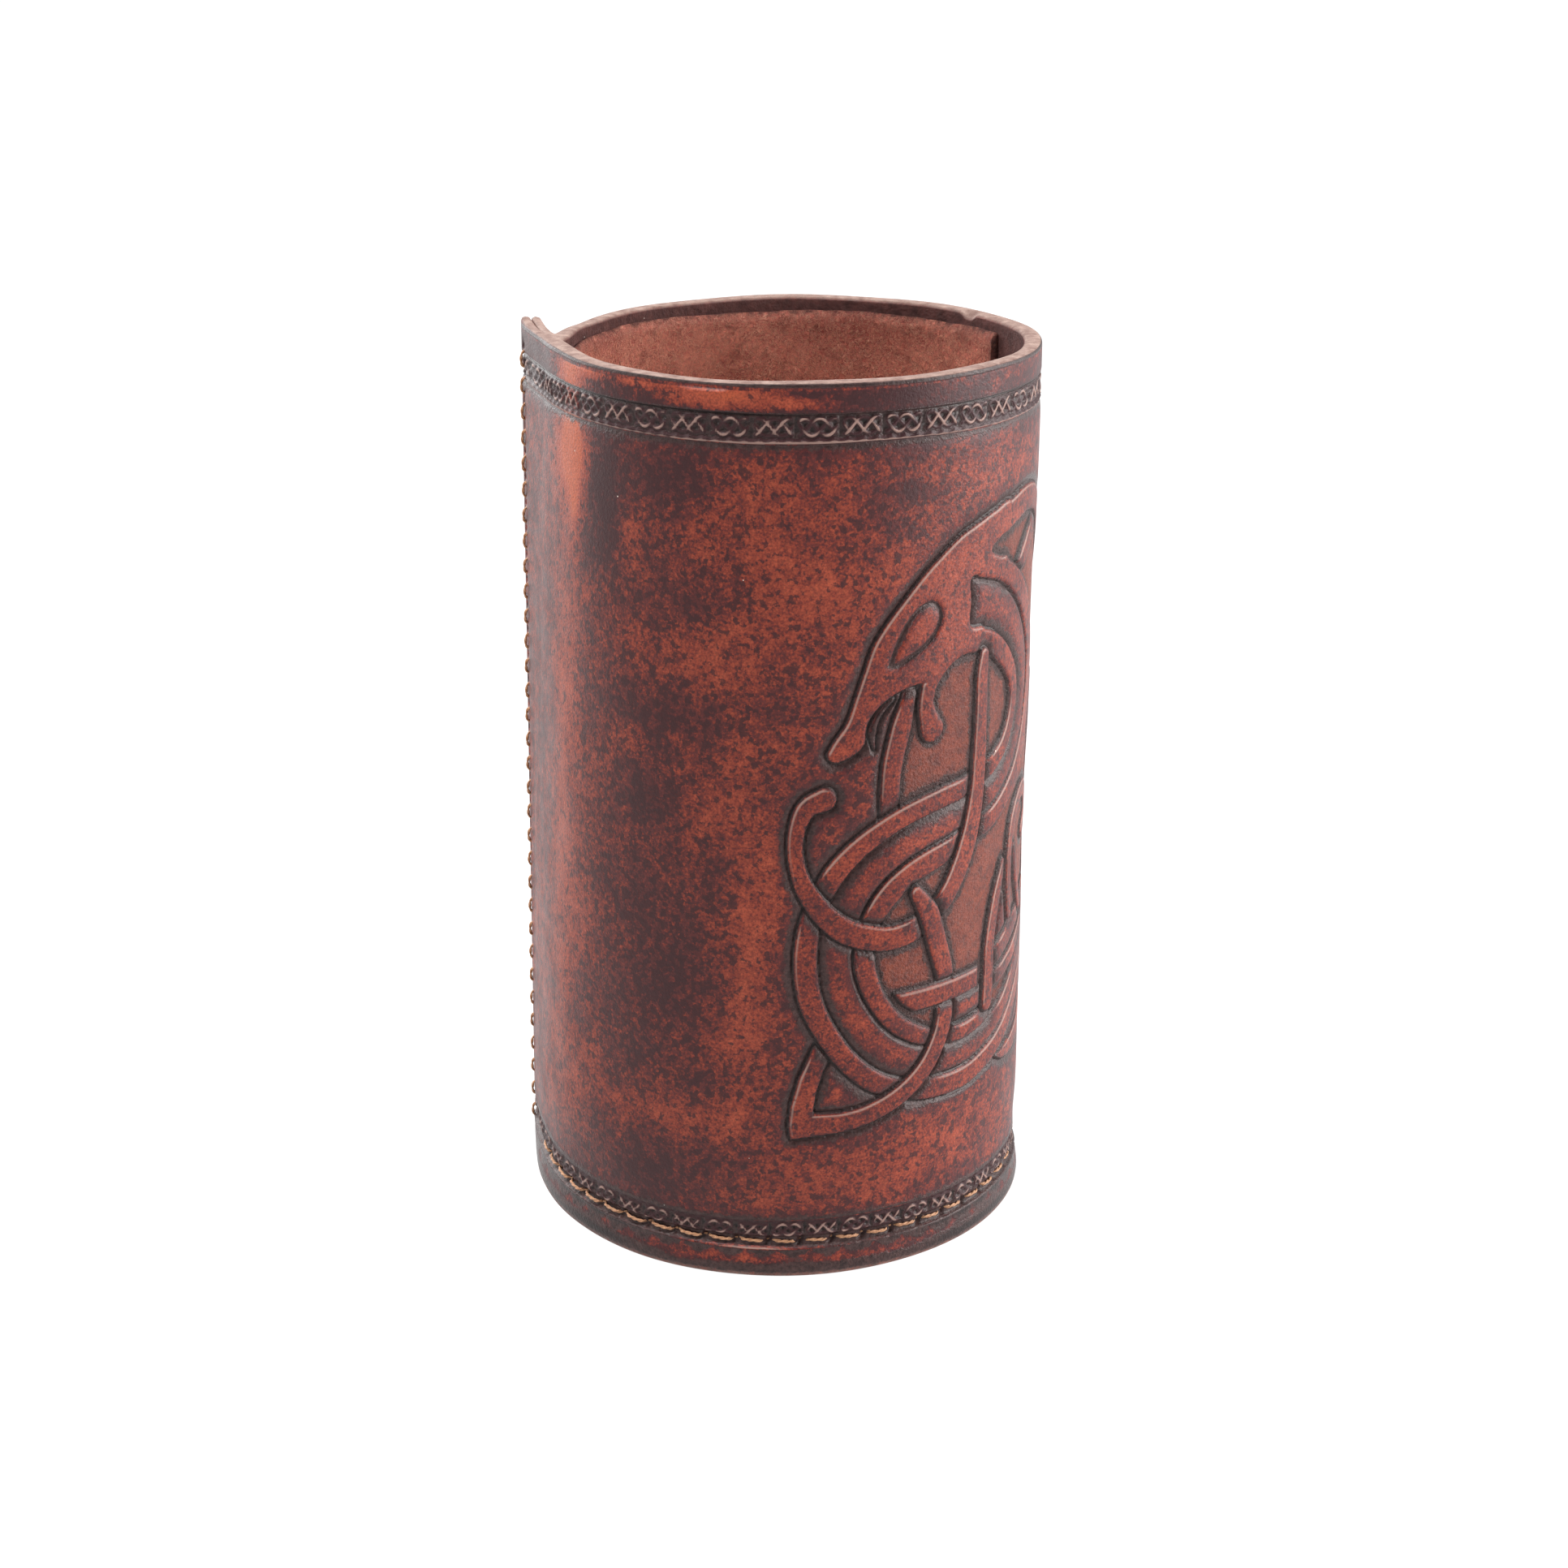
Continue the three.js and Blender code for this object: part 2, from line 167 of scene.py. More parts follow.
def spline(points, step_length=0.7):
    """Points along a smooth curve through the given ones, and where each lies among them."""
    points = np.asarray(points, float)
    ends = [2 * points[0] - points[1], 2 * points[-1] - points[-2]]
    padded = np.vstack([ends[0], points, ends[1]])
    pieces, places = [], []
    for i in range(len(points) - 1):
        a, b, c, d = padded[i:i + 4]
        count = max(2, int(np.ceil(np.linalg.norm(c - b) / step_length)))
        t = np.linspace(0, 1, count, endpoint=False)[:, None]
        pieces.append(0.5 * (2 * b + (c - a) * t + (2 * a - 5 * b + 4 * c - d) * t ** 2
                             + (3 * b - a - 3 * c + d) * t ** 3))
        places.append(i + t[:, 0])
    pieces.append(points[-1:])
    places.append([len(points) - 1.0])
    return np.vstack(pieces), np.concatenate(places)


# ------------------------------------------------------------------ outline of the wall

FRONT_COUNTS = (7, 14, 7, 10, 44)
BACK_COUNTS = (16, 14)
LAYER_COUNTS = (4, 4, 9, 9)
EDGE_ROUNDING = 0.55


def knots(counts):
    """A rising parameter with the given number of steps in each whole interval."""
    pieces = [i + np.arange(n) / n for i, n in enumerate(counts)]
    return np.concatenate(pieces + [[float(len(counts))]])


def graded(stops, pitches, scale=1.0):
    """Rising values from the first stop to the last, each stretch with its own pitch in mm."""
    runs = []
    for start, stop, pitch in zip(stops, stops[1:], pitches):
        runs.append(np.linspace(start, stop, int(round((stop - start) * scale / pitch)), endpoint=False))
    return np.concatenate(runs + [[float(stops[-1])]])


# Angles of the round part: close together where the wall is carved.
ARC_ANGLES = graded([ARC_START, FRONT - 3, FRONT + 62, FRONT + 106, ARC_END], [0.34, 0.2, 0.26, 0.55],
                    math.radians(NOMINAL))


def edge_inset(distance):
    """How far a burnished edge falls away, from the edge inwards."""
    gone = np.clip(EDGE_ROUNDING - distance, 0, EDGE_ROUNDING)
    return EDGE_ROUNDING - np.sqrt(EDGE_ROUNDING ** 2 - gone ** 2)


def front_curve(end):
    """The front layer of the seam, from its free edge to the start of the round part."""
    return Bend(end["tail"], end["heading"] + 180, on_circle(end, ARC_START, 0), ARC_START + 90)


def wall_outline(end):
    """Outer and inner points of the wall seen from above, and the distance of each round the wall."""
    front = front_curve(end)
    folded = end["flange"] + end["fold"]

    def thickness(distance):
        return SKIVED + (WALL - SKIVED) * smoothstep(distance, end["flange"], folded)

    stops = [0, SEAM_INSET, end["flange"], end["flange"] + end["fold"] / 2, folded, front.length]
    distance = np.interp(knots(FRONT_COUNTS), range(6), stops)[:-1]
    rounding = edge_inset(distance)
    outer = [front.sunk(distance, rounding)]
    inner = [front.sunk(distance, thickness(distance) - rounding)]
    start_place = np.radians(ARC_START - FRONT) * NOMINAL
    place = [start_place - (front.length - distance)]

    outer.append(on_circle(end, ARC_ANGLES, 0))
    inner.append(on_circle(end, ARC_ANGLES, WALL))
    place.append(np.radians(ARC_ANGLES - FRONT) * NOMINAL)

    back_depth = 2 * SKIVED + SEAM_GAP
    behind = thickness(folded) + SEAM_GAP
    cleft = front.sunk(end["flange"], back_depth)
    near = front.sunk(end["near"], end["depth"])
    inner_near = front.sunk(end["near"], end["depth"] + end["thickness"])
    inner_cleft = front.sunk(folded, behind)
    heading, arrival = end["approach"], end["arrival"]
    stretches = (
        (Bend(on_circle(end, ARC_END, 0), ARC_END + 90, near, heading),
         Bend(on_circle(end, ARC_END, WALL), ARC_END + 90, inner_near, heading)),
        (Bend(near, heading, cleft, arrival), Bend(inner_near, heading, inner_cleft, heading)),
    )
    travelled = np.radians(ARC_END - FRONT) * NOMINAL
    for (outer_curve, inner_curve), count in zip(stretches, BACK_COUNTS):
        t = np.arange(1, count + 1) / count
        outer.append(outer_curve.at(t))
        inner.append(inner_curve.at(t))
        place.append(travelled + outer_curve.length * t)
        travelled += outer_curve.length

    t = knots(LAYER_COUNTS)[1:]
    share = np.interp(t, range(5), [1, 0.96, 0.9, 0.5, 0])
    inner_distance = np.interp(t, range(5), [folded, end["flange"] + end["fold"] / 2, end["flange"],
                                             end["flange"] / 2, 0])
    outer_distance = end["flange"] * share
    rounding = edge_inset(outer_distance)
    outer.append(front.sunk(outer_distance, back_depth - rounding))
    inner.append(front.sunk(inner_distance, thickness(inner_distance) + SEAM_GAP + rounding))
    place.append(travelled + end["flange"] - outer_distance)
    return np.vstack(outer), np.vstack(inner), np.concatenate(place)


BASE_OUTLINE = wall_outline(BASE)
RIM_OUTLINE = wall_outline(RIM)
PLACES = (BASE_OUTLINE[2] + RIM_OUTLINE[2]) / 2
EDGE_DISTANCE = np.minimum(PLACES - PLACES[0], PLACES[-1] - PLACES)
AROUND = np.degrees(np.unwrap(np.arctan2(BASE_OUTLINE[0][:, 1], BASE_OUTLINE[0][:, 0] - BASE["centre"])))
ARC_LAST = np.searchsorted(PLACES, np.radians(ARC_END - FRONT) * NOMINAL)
AROUND += 360 * round((ARC_END - AROUND[ARC_LAST]) / 360)


def outline_at(z):
    """Outer and inner points of the wall at each height: arrays of heights by points by 2."""
    share = (np.asarray(z, float) / HEIGHT)[:, None, None]
    outer = BASE_OUTLINE[0] * (1 - share) + RIM_OUTLINE[0] * share
    inner = BASE_OUTLINE[1] * (1 - share) + RIM_OUTLINE[1] * share
    return outer, inner


# ------------------------------------------------------------------ the carved hound
# Distances in mm: first round the wall to the right from the front, then up from the table.
# A ribbon has the points of its middle line and its width at each. Higher layers lie on top.

# The neck and body are three strands side by side.
# Each point has x, z, half the middle strand's width and the widths of the two others.
BODY = np.array([
    (30.5, 103.4, 3.7, 3.8, 3.4), (36.5, 101.6, 3.5, 3.8, 3.8), (41.7, 97.6, 3.1, 3.7, 4.2),
    (45.6, 91.8, 2.6, 3.2, 4.4), (46.5, 86, 2.3, 3.0, 4.4), (45.2, 81, 2.3, 3.0, 4.4),
    (42.3, 77, 2.2, 3.1, 4.2), (38.6, 74.4, 2.2, 3.2, 3.6), (34.5, 72.5, 2.3, 3.4, 3.5),
    (29, 71.3, 2.3, 3.5, 3.7), (25.8, 70.7, 2.5, 3.5, 3.8), (20.5, 69.5, 2.6, 3.4, 4.0),
    (16.6, 67.9, 2.65, 3.4, 4.0), (13.2, 65.6, 2.7, 3.5, 4.0), (10.4, 62.4, 2.75, 3.6, 3.8),
    (8.5, 58.5, 2.75, 3.6, 3.6), (7.5, 54, 2.7, 3.6, 3.5), (7.6, 50, 2.7, 3.7, 3.4),
    (8.4, 46.5, 2.8, 3.7, 3.3), (10.1, 42.7, 2.8, 3.5, 3.2), (13.2, 38.2, 2.85, 3.4, 3.2),
    (17.4, 34.7, 2.9, 3.5, 3.1), (23, 32.6, 2.5, 3.7, 3.0), (30, 31.9, 2.3, 3.8, 2.9),
    (35, 32.6, 2.1, 3.8, 3.0), (40, 34, 1.9, 3.8, 3.2), (45.5, 36.8, 1.9, 3.9, 3.4),
(51.5, 41.5, 2.1, 3.9, 3.6), (56.8, 48.5, 2.3, 3.8, 3.8), (60.2, 57.5, 2.3, 3.8, 3.8),
(60.6, 68, 2.3, 3.8, 3.8), ])
CROSSED = 22  # the point of the body where the hind leg crosses it


def strand(side, first, last):
    """Points and widths of the strand that runs to the right (1) or the left (-1) of the middle one."""
    dense, where = spline(BODY[:, :2], 1.5)
    tangent = unit(np.gradient(dense, axis=0))
    half, right, left = (np.interp(where, range(len(BODY)), BODY[:, k]) for k in (2, 3, 4))
    width = right if side > 0 else left
    away = side * (half + width / 2)
    line = dense + np.stack([tangent[:, 1], -tangent[:, 0]], -1) * away[:, None]
    kept = (where >= first) & (where <= last)
    return line[kept], width[kept]


HEAD = [(5.2, 84.0), (6.3, 86.0), (8.1, 88.6), (9.3, 92.2), (10.5, 95.8), (11.9, 99.8), (14, 103),
        (16.7, 106.1), (19.9, 109.3), (23.1, 111.8), (26.7, 114.1), (30, 115.3), (34.5, 116.6),
        (39.5, 117.3), (39.6, 112.9), (36.9, 112.2), (34.2, 110.7), (36.7, 109.4), (39, 108.7),
        (39.3, 104.3), (36.5, 105.7), (33.2, 106.9), (29.6, 107.3), (29.7, 104), (29.7, 100.2), (33, 99.3),
        (33.2, 95.4), (30, 95.9), (27.4, 95.7), (24.9, 94.4), (23.1, 92.4), (22.3, 90.2), (21.0, 90.6),
        (20.6, 92.9), (16.8, 92.4), (13.7, 90.8), (11.5, 88.2), (11.1, 85.2), (9.6, 83.6), (7, 82.5),
        (5.6, 82.9)]
EYE = [(14.4, 96.3), (15.4, 99.2), (17.2, 102.6), (19.5, 104.7), (22, 105.1), (23.5, 103.4), (23.2, 101.2),
       (21.4, 99), (18.4, 97.2), (16, 96.1)]

# layer, bevel, points, width at each point.
# The bevel is how far the leather beside a ribbon slopes down to it.
RIBBONS = [
    (0, 0.8, [(18.2, 91.8), (16.9, 87), (15.7, 82), (15.3, 78), (15.3, 73)], [2.6, 3.6, 3.5, 3.4, 3.4]),
    (0, 0.5, [(15.6, 91.4), (13.2, 89.3), (12.2, 86.8), (12.6, 84.2)], [0.6, 1.2, 1.5, 0.5]),
    (0, 0.8, [(42.0, 105.0), (46.5, 108.4), (50, 111), (53, 113.2)], [3.0, 3.4, 3.4, 3.4]),
    (3, 1.1, [(37, 114.6), (47.5, 116.0), (55.5, 112.6), (61, 104), (64.6, 93), (66.6, 80), (66.5, 68),
              (65.3, 60)], [4.5, 4.3, 4.2, 4, 3.9, 3.8, 3.8, 3.7]),
    (3, 0.5, [(21.2, 92.5), (21.1, 89.6), (21.7, 87.3), (22.3, 85.9)], [2.4, 2.9, 3.6, 4.3]),
    (4, 0.9, [(33.2, 95.0), (32.8, 92), (32.7, 86), (32.5, 80), (32.2, 75), (31.6, 71), (30.5, 67),
              (28.9, 63.3), (26.6, 59.8), (24, 57.2), (20.6, 55.2), (16.2, 54.3), (12.4, 54.9), (8.7, 56.4),
              (5.5, 59.2), (2.9, 62.8), (1.6, 66), (1.0, 69.5), (1.3, 73), (2.6, 75.9), (5.1, 77.1)],
     [2.4, 3.0, 3.1, 3.4, 3.5, 3.8, 4.1, 4.1, 3.8, 3.8, 4.0, 4.0, 4.1, 4.0, 3.6, 3.1, 2.6, 2.5, 2.7,
      3.2, 3.8]),
    (5, 0.75, [(20.2, 60.8), (22.7, 56.8), (24.3, 52), (25.9, 47), (26.3, 43.5), (26.3, 40.5), (25.7, 37),
               (23.7, 33), (20.8, 30.0), (17, 27.7), (12.3, 26), (8, 25.3)],
     [2.2, 3.7, 3.7, 3.5, 3.5, 3.5, 3.5, 3.5, 3.5, 3.4, 3.4, 3.5]),
    (3.2, 0.9, [(36.8, 38.2), (37, 43), (37, 47), (37.6, 50.5), (38.5, 54), (39.6, 57), (40.8, 60)],
     [3.3, 3.3, 3.2, 3.1, 3.0, 2.7, 1.8]),
    (4, 0.9, [(44.2, 50.3), (43.6, 54), (43.3, 58), (43.4, 62), (44.6, 65.6), (47.2, 68.1), (50.5, 69),
              (53.6, 67.2), (54, 63.5), (51.5, 61.8)], [2.2, 2.3, 2.4, 2.6, 2.9, 3.1, 3.2, 3.1, 3.2, 3.2]),
    (3, 0.5, [(45.6, 61), (46.6, 57.5), (48.4, 53.4), (50.5, 49.5)], [1.6, 1.9, 2.1, 2.2]),
    (2, 0.7, [(38.2, 44.4), (43, 46.4), (48, 48.4), (54, 51.5)], [3.6, 3.8, 3.8, 3.8]),
    (2.2, 0.6, [(38.2, 41), (43, 42), (47, 43.2), (52, 46)], [2.8, 3.2, 3.2, 3.0]),
    (2, 0.9, [(40.6, 27.4), (43.5, 27.0), (48, 27), (53, 28), (57.5, 31)], [0.8, 2.4, 3.4, 3.8, 4.0]),
    (3, 1.2, *strand(1, 0, CROSSED)),
    (3, 0.5, *strand(-1, 0, CROSSED)),
    (3, 0.45, *strand(1, CROSSED, 30)),
    (3, 1.2, *strand(-1, CROSSED, 24.5)),
    (1, 0.9, list(BODY[:, :2]) + [(58.2, 78), (53.5, 86)], list(2 * BODY[:, 2] + 0.6) + [5, 4]),
]
FOOT = [(1.3, 22.9), (0.9, 25.3), (1.2, 28.5), (2.3, 33), (4.5, 38.6), (7.4, 36.2), (6.1, 34), (5.1, 30.6),
        (4.7, 27.2), (9.5, 27.1), (9.5, 23.7), (5, 23.3)]
STRAP = [(16.6, 45.2), (33.8, 45.3), (33.7, 41.8), (20.4, 41.5), (18.2, 43.2)]
BLOCK = [(28.0, 42.0), (34.7, 42.0), (34.9, 37.6), (28.2, 37.4)]
WEDGE = [(38.8, 47.4), (40.3, 54.2), (41.4, 55.6), (43.2, 50.4), (43.9, 49.6)]
# layer, bevel, outline, and the heights between which it shows.
# The foot lies under the body but over its own leg.
PANELS = [(6, 0.6, STRAP, (0, HEIGHT)), (1, 0.4, BLOCK, (0, HEIGHT)), (1, 0.4, WEDGE, (0, HEIGHT)),
          (0, 0.9, FOOT, (29.5, HEIGHT)), (5, 0.9, FOOT, (0, 29.5))]

# Ground between the ribbons, pressed down and matted. The outlines run underneath the ribbons.
GROUNDS = [
    [(17.5, 89), (23.5, 93.5), (30, 98), (38, 96), (42, 90), (41.5, 83), (36, 77), (28, 74.5), (20, 73.5),
     (15.5, 73)],
    [(45, 76), (35, 68), (28, 66.3), (20, 64.3), (13.6, 57.5), (12.5, 50), (14.2, 44), (18.5, 38.7),
     (25, 36.2), (35, 36.2), (42, 38.6), (50, 41.5), (57.5, 50), (60, 58), (61, 70), (53, 84)],
    [(33, 110), (44, 116), (52, 114.5), (46, 104), (38, 107)],
    [(48, 115), (57, 110), (63, 98), (66, 82), (66, 62), (58, 42), (46, 33), (40, 27), (44, 38), (56, 52),
     (58, 68), (53, 86), (50, 95), (44, 104)],
]

BEVEL = 0.55
CUT = 0.34
CUT_WIDTH = 0.2
GROUND_DEPTH = 0.5
REACH = 5.0


def line_distance(points, widths, xs, zs, curved=True):
    """How far inside a ribbon each place is, negative outside."""
    if curved:
        dense, where = spline(points)
        half = np.interp(where, range(len(widths)), np.asarray(widths) / 2)
    else:
        dense, half = np.asarray(points, float), np.asarray(widths) / 2
    inside = np.full((len(zs), len(xs)), -REACH)
    for i in range(len(dense) - 1):
        a, b = dense[i], dense[i + 1]
        left, right = np.searchsorted(xs, [min(a[0], b[0]) - REACH, max(a[0], b[0]) + REACH])
        under, over = np.searchsorted(zs, [min(a[1], b[1]) - REACH, max(a[1], b[1]) + REACH])
        dx = xs[None, left:right] - a[0]
        dz = zs[under:over, None] - a[1]
        along = b - a
        t = np.clip((dx * along[0] + dz * along[1]) / max(along @ along, 1e-9), 0, 1)
        away = np.hypot(dx - t * along[0], dz - t * along[1])
        depth = half[i] * (1 - t) + half[i + 1] * t - away
        window = inside[under:over, left:right]
        np.maximum(window, depth, out=window)
    return inside


def area_distance(outline, xs, zs, curved=True):
    """How far inside a closed outline each place is, negative outside."""
    closed = list(outline) + [outline[0]]
    dense = spline(closed, 0.7)[0] if curved else np.asarray(closed, float)
    away = -line_distance(dense, np.zeros(len(dense)), xs, zs, curved=False)
    x = xs[None, :]
    crossed = np.zeros((len(zs), len(xs)), bool)
    for a, b in zip(dense, dense[1:]):
        first, last = np.searchsorted(zs, [min(a[1], b[1]), max(a[1], b[1])])
        z = zs[first:last, None]
        if first < last:
            crossed[first:last] ^= x < a[0] + (z - a[1]) * (b[0] - a[0]) / (b[1] - a[1])
    return np.where(crossed, away, -away)


def hound_pieces(xs, zs):
    """Layer, bevel and distance inside of every ribbon, panel and the head."""
    pieces = [(layer, bevel, line_distance(points, widths, xs, zs))
              for layer, bevel, points, widths in RIBBONS]
    for layer, bevel, outline, levels in PANELS:
        inside = area_distance(outline, xs, zs, curved=False)
        shown = (zs[:, None] > levels[0]) & (zs[:, None] <= levels[1])
        pieces.append((layer, bevel, np.where(shown, inside, -REACH)))
    pieces.append((3, 1.1, area_distance(HEAD, xs, zs)))
    return pieces


def carving(xs, zs):
    """Height of the carved wall, the dark stain in its lines with a painted highlight along ribbon edges that
    face up and to the left, where it is matted and where it is left plain.
    """
    pieces = hound_pieces(xs, zs)
    shape = (len(zs), len(xs))
    height = np.zeros(shape)
    dye_and_highlight = np.zeros(shape)
    owned = np.zeros(shape, bool)
    for layer in sorted({piece[0] for piece in pieces}, reverse=True):
        together = [piece for piece in pieces if piece[0] == layer]
        inside = np.max([piece[2] for piece in together], axis=0)
        mine = (inside > 0) & ~owned
        height[mine] -= (0.22 * fade(inside, 0.34))[mine]
        dye_and_highlight[mine] += (0.3 * np.exp(-inside / 0.4) + 0.85 * fade(inside, 0.12))[mine]
        # Painted highlight: a thin lighter line just inside the ribbon edges that face up and to the left,
        # towards the key light, kept as negative values in this map.
        across, up = np.gradient(inside, xs, axis=1), np.gradient(inside, zs, axis=0)
        faces_light = np.clip(0.6 * across - 0.8 * up, 0, 1)
        dye_and_highlight[mine] -= (0.55 * faces_light * fade(inside - 0.42, 0.2))[mine]
        owned |= inside > 0
        rest = ~owned
        for layer, bevel, own in together:
            gap = np.clip(-own, 0, REACH)
            fall = BEVEL * fade(gap, bevel, 1.7) + CUT * fade(gap, CUT_WIDTH)
            height[rest] = np.minimum(height, -fall)[rest]
            dark = 0.82 * fade(gap, bevel + 0.55) + 0.6 * fade(gap, 0.24)
            dye_and_highlight[rest] = np.maximum(dye_and_highlight, dark)[rest]

    ground = np.zeros(shape, bool)
    for outline in GROUNDS:
        ground |= area_distance(outline, xs, zs, curved=False) > 0
    ground &= ~owned
    top = np.max([piece[2] for piece in pieces], axis=0)
    edge = np.clip(-top, 0, REACH)
    height[ground] = (-GROUND_DEPTH - 0.2 * fade(edge, 0.6, 1.5))[ground]

    cut_eye(height, dye_and_highlight, area_distance(EYE, xs, zs))
    return height, np.clip(dye_and_highlight, -0.4, 1.2), ground.astype(float), owned.astype(float)


def cut_eye(height, dye_and_highlight, eye):
    """Sinks and darkens the eye in both maps. The last value is how far inside it each place is."""
    within = eye > 0
    depth = np.clip(eye, 0, REACH)
    height[within] = (0.08 - 0.6 * fade(depth, 0.8, 1.6))[within]
    dye_and_highlight[within] = (1.05 * fade(depth, 0.85, 1.8))[within]
    beside_eye = (eye <= 0) & (eye > -2)
    height[beside_eye] -= (0.12 * fade(eye, 0.5))[beside_eye]
    dye_and_highlight[beside_eye] += (0.5 * np.exp(eye / 0.4))[beside_eye]


def sampled_finely(maps, xs, zs):
    """The average of each map over the area around each mesh point, so that slanting edges stay smooth."""
    def pairs(values):
        edges = np.concatenate([[values[0]], (values[1:] + values[:-1]) / 2, [values[-1]]])
        quarter = np.diff(edges) / 4
        middle = (edges[1:] + edges[:-1]) / 2
        return np.stack([middle - quarter, middle + quarter], -1).ravel()

    return [grid.reshape(len(zs), 2, len(xs), 2).mean(axis=(1, 3)) for grid in maps(pairs(xs), pairs(zs))]


# ------------------------------------------------------------------ stamped borders

UNIT = 6.5  # one strike of the stamp: three scallops wide
STAMP_DEPTH = 0.5


def stamp(xs, across, tall):
    """Height of the knotwork stamp. Across runs from 0 at its scalloped edge to 1 at its straight edge."""
    turn = 2 * np.pi * xs[None, :] / UNIT
    scallop = 0.1 * (1 - np.abs(np.sin(1.5 * turn + np.pi / 4)))
    plait = np.zeros(across.shape)
    for strand in range(3):
        phase = turn + 2 * np.pi * strand / 3
        middle = 0.55 + 0.31 * np.sin(phase)
        slope = 0.31 * tall * 2 * np.pi / UNIT * np.cos(phase)
        away = (across - middle) * tall / np.sqrt(1 + slope ** 2)
        ridge = fade(away, 0.33, 4) * (0.82 + 0.18 * np.sin(3 * phase / 2 + strand))
        plait = np.maximum(plait, ridge)
    edge = (across - scallop) * tall
    lip = fade(edge - 0.34, 0.17)
    bar = fade((1 - across) * tall - 0.25, 0.16)
    parting = np.abs((xs[None, :] / UNIT + 0.45) % 1 - 0.5) * UNIT
    parting = fade(parting, 0.42)
    raised = np.maximum(np.maximum(plait * (1 - parting), 0.75 * lip), 0.6 * bar)
    inside = smoothstep(edge, 0, 0.22)
    return (-STAMP_DEPTH + 0.5 * raised) * inside, raised * inside, inside


def borders(xs, zs):
    """Height, and dark stain with painted highlights, of both borders, the rim band's cut line and the
    stitching groove.
    """
    z = zs[:, None] * np.ones((1, len(xs)))
    wander = 0.12 * np.sin(xs / 17.0 + 1) + 0.08 * np.sin(xs / 7.3)
    height = np.zeros_like(z)
    dye_and_highlight = np.zeros_like(z)

    tall = RIM_BAND - TOP_BORDER
    pattern, raised, inside = stamp(xs + 0.8, (z - TOP_BORDER - wander) / tall, tall)
    inside = inside * smoothstep(RIM_BAND + 0.05 - z, 0, 0.12)
    height += pattern * inside
    # Dark stain in the stamp's hollows; its raised tops go negative, which is a painted highlight.
    dye_and_highlight += inside * (1.08 - 1.5 * raised)
    cut = fade(z - RIM_BAND, 0.16)
    height -= 0.35 * cut
    dye_and_highlight += fade(z - RIM_BAND - 0.1, 0.28)
    below = TOP_BORDER - z + wander
    dye_and_highlight += 0.7 * fade(np.clip(below - 0.3, 0, 9), 1.5, 1.4) * (below > 0.15)
    height -= 0.2 * fade(np.clip(below - 0.3, 0, 9), 0.9, 1.5) * (below > 0)
    # A raised lip under the top border with a painted highlight, strongest near the front.
    lip = fade(below - 0.05, 0.17) * (0.3 + 0.7 * fade(xs[None, :] + 1, 10))
    height += 0.16 * lip
    dye_and_highlight -= 1.3 * lip

    tall = LOW_BORDER - GROOVE_TOP + 0.2
    pattern, raised, inside = stamp(xs * 1.25 + 2.0, (LOW_BORDER + wander - z) / tall, tall)
    inside = inside * smoothstep(z - GROOVE_TOP, 0, 0.25)
    height += pattern * inside
    # Dark stain in the lower stamp's hollows; its raised tops go negative, which is a painted highlight.
    dye_and_highlight += inside * (1.2 - 1.6 * raised)
    above = z - LOW_BORDER - wander
    dye_and_highlight += 0.8 * fade(np.clip(above, 0, 9), 1.1, 1.3) * (above > 0)

    groove = smoothstep(z, GROOVE_LOW, GROOVE_LOW + 0.3)
    groove = groove * smoothstep(-z, -GROOVE_TOP - 0.25, -GROOVE_TOP + 0.1)
    height -= 0.62 * groove
    dye_and_highlight += 0.9 * groove
    # A raised lip along the groove's lower edge with a painted highlight, strongest near the front.
    lip = fade(z - GROOVE_LOW + 0.05, 0.2)
    height += 0.14 * lip
    dye_and_highlight -= 1.4 * lip * (0.25 + 0.75 * fade(xs[None, :] + 4, 8))
    swing = np.abs(np.sin(np.pi * (xs - stitch_places()[0]) / STITCH_SPACING))[None, :]
    pool = GROOVE_LOW - 0.25 - 1.15 * swing ** 0.7
    dye_and_highlight += 0.85 * smoothstep(z, pool - 0.25, pool + 0.25) * (z < GROOVE_LOW + 0.1)
    foot = 2.3 + 0.3 * np.sin(xs / 5.3 + 1)[None, :] + 0.15 * np.sin(xs / 1.9)[None, :]
    dye_and_highlight += 0.8 * smoothstep(-z, -foot - 0.5, -foot + 0.4)
    dye_and_highlight += 0.3 * smoothstep(np.abs(xs)[None, :], 16, 30) * (z < GROOVE_LOW)
    return height, dye_and_highlight


STITCH_SPACING = math.radians(STITCH_PITCH) * NOMINAL
STITCH_ANGLES = FIRST_STITCH + STITCH_PITCH * np.arange(BASE_HOLES)


def stitch_places():
    """Place round the wall of each hole of the base seam."""
    round_part = slice(0, np.argmax(AROUND) + 1)
    return np.interp(STITCH_ANGLES, AROUND[round_part], PLACES[round_part])


def holes(xs, zs):
    """Dimples that the thread pulls into the leather."""
    z = zs[:, None]
    height = np.zeros((len(zs), len(xs)))
    for place in stitch_places():
        lean = (xs[None, :] - place) - 0.5 * (z - STITCH_HEIGHT)
        height -= 0.7 * np.exp(-(lean / 0.42) ** 2 - ((z - STITCH_HEIGHT) / 0.75) ** 2)
    edge = EDGE_DISTANCE[None, :] - SEAM_INSET
    for k in range(SEAM_HOLES):
        middle = HEIGHT - SEAM_FIRST_HOLE - SEAM_PITCH * k
        height -= 0.4 * np.exp(-(edge / 0.4) ** 2 - ((z - middle) / 0.45) ** 2)
    height -= 0.12 * fade(edge, 0.7) * (np.abs(z - HEIGHT / 2) < 67)
    return height


# ------------------------------------------------------------------ large patches of colour
# place round the wall, height, half width, half height, and how much redder (or darker) it is

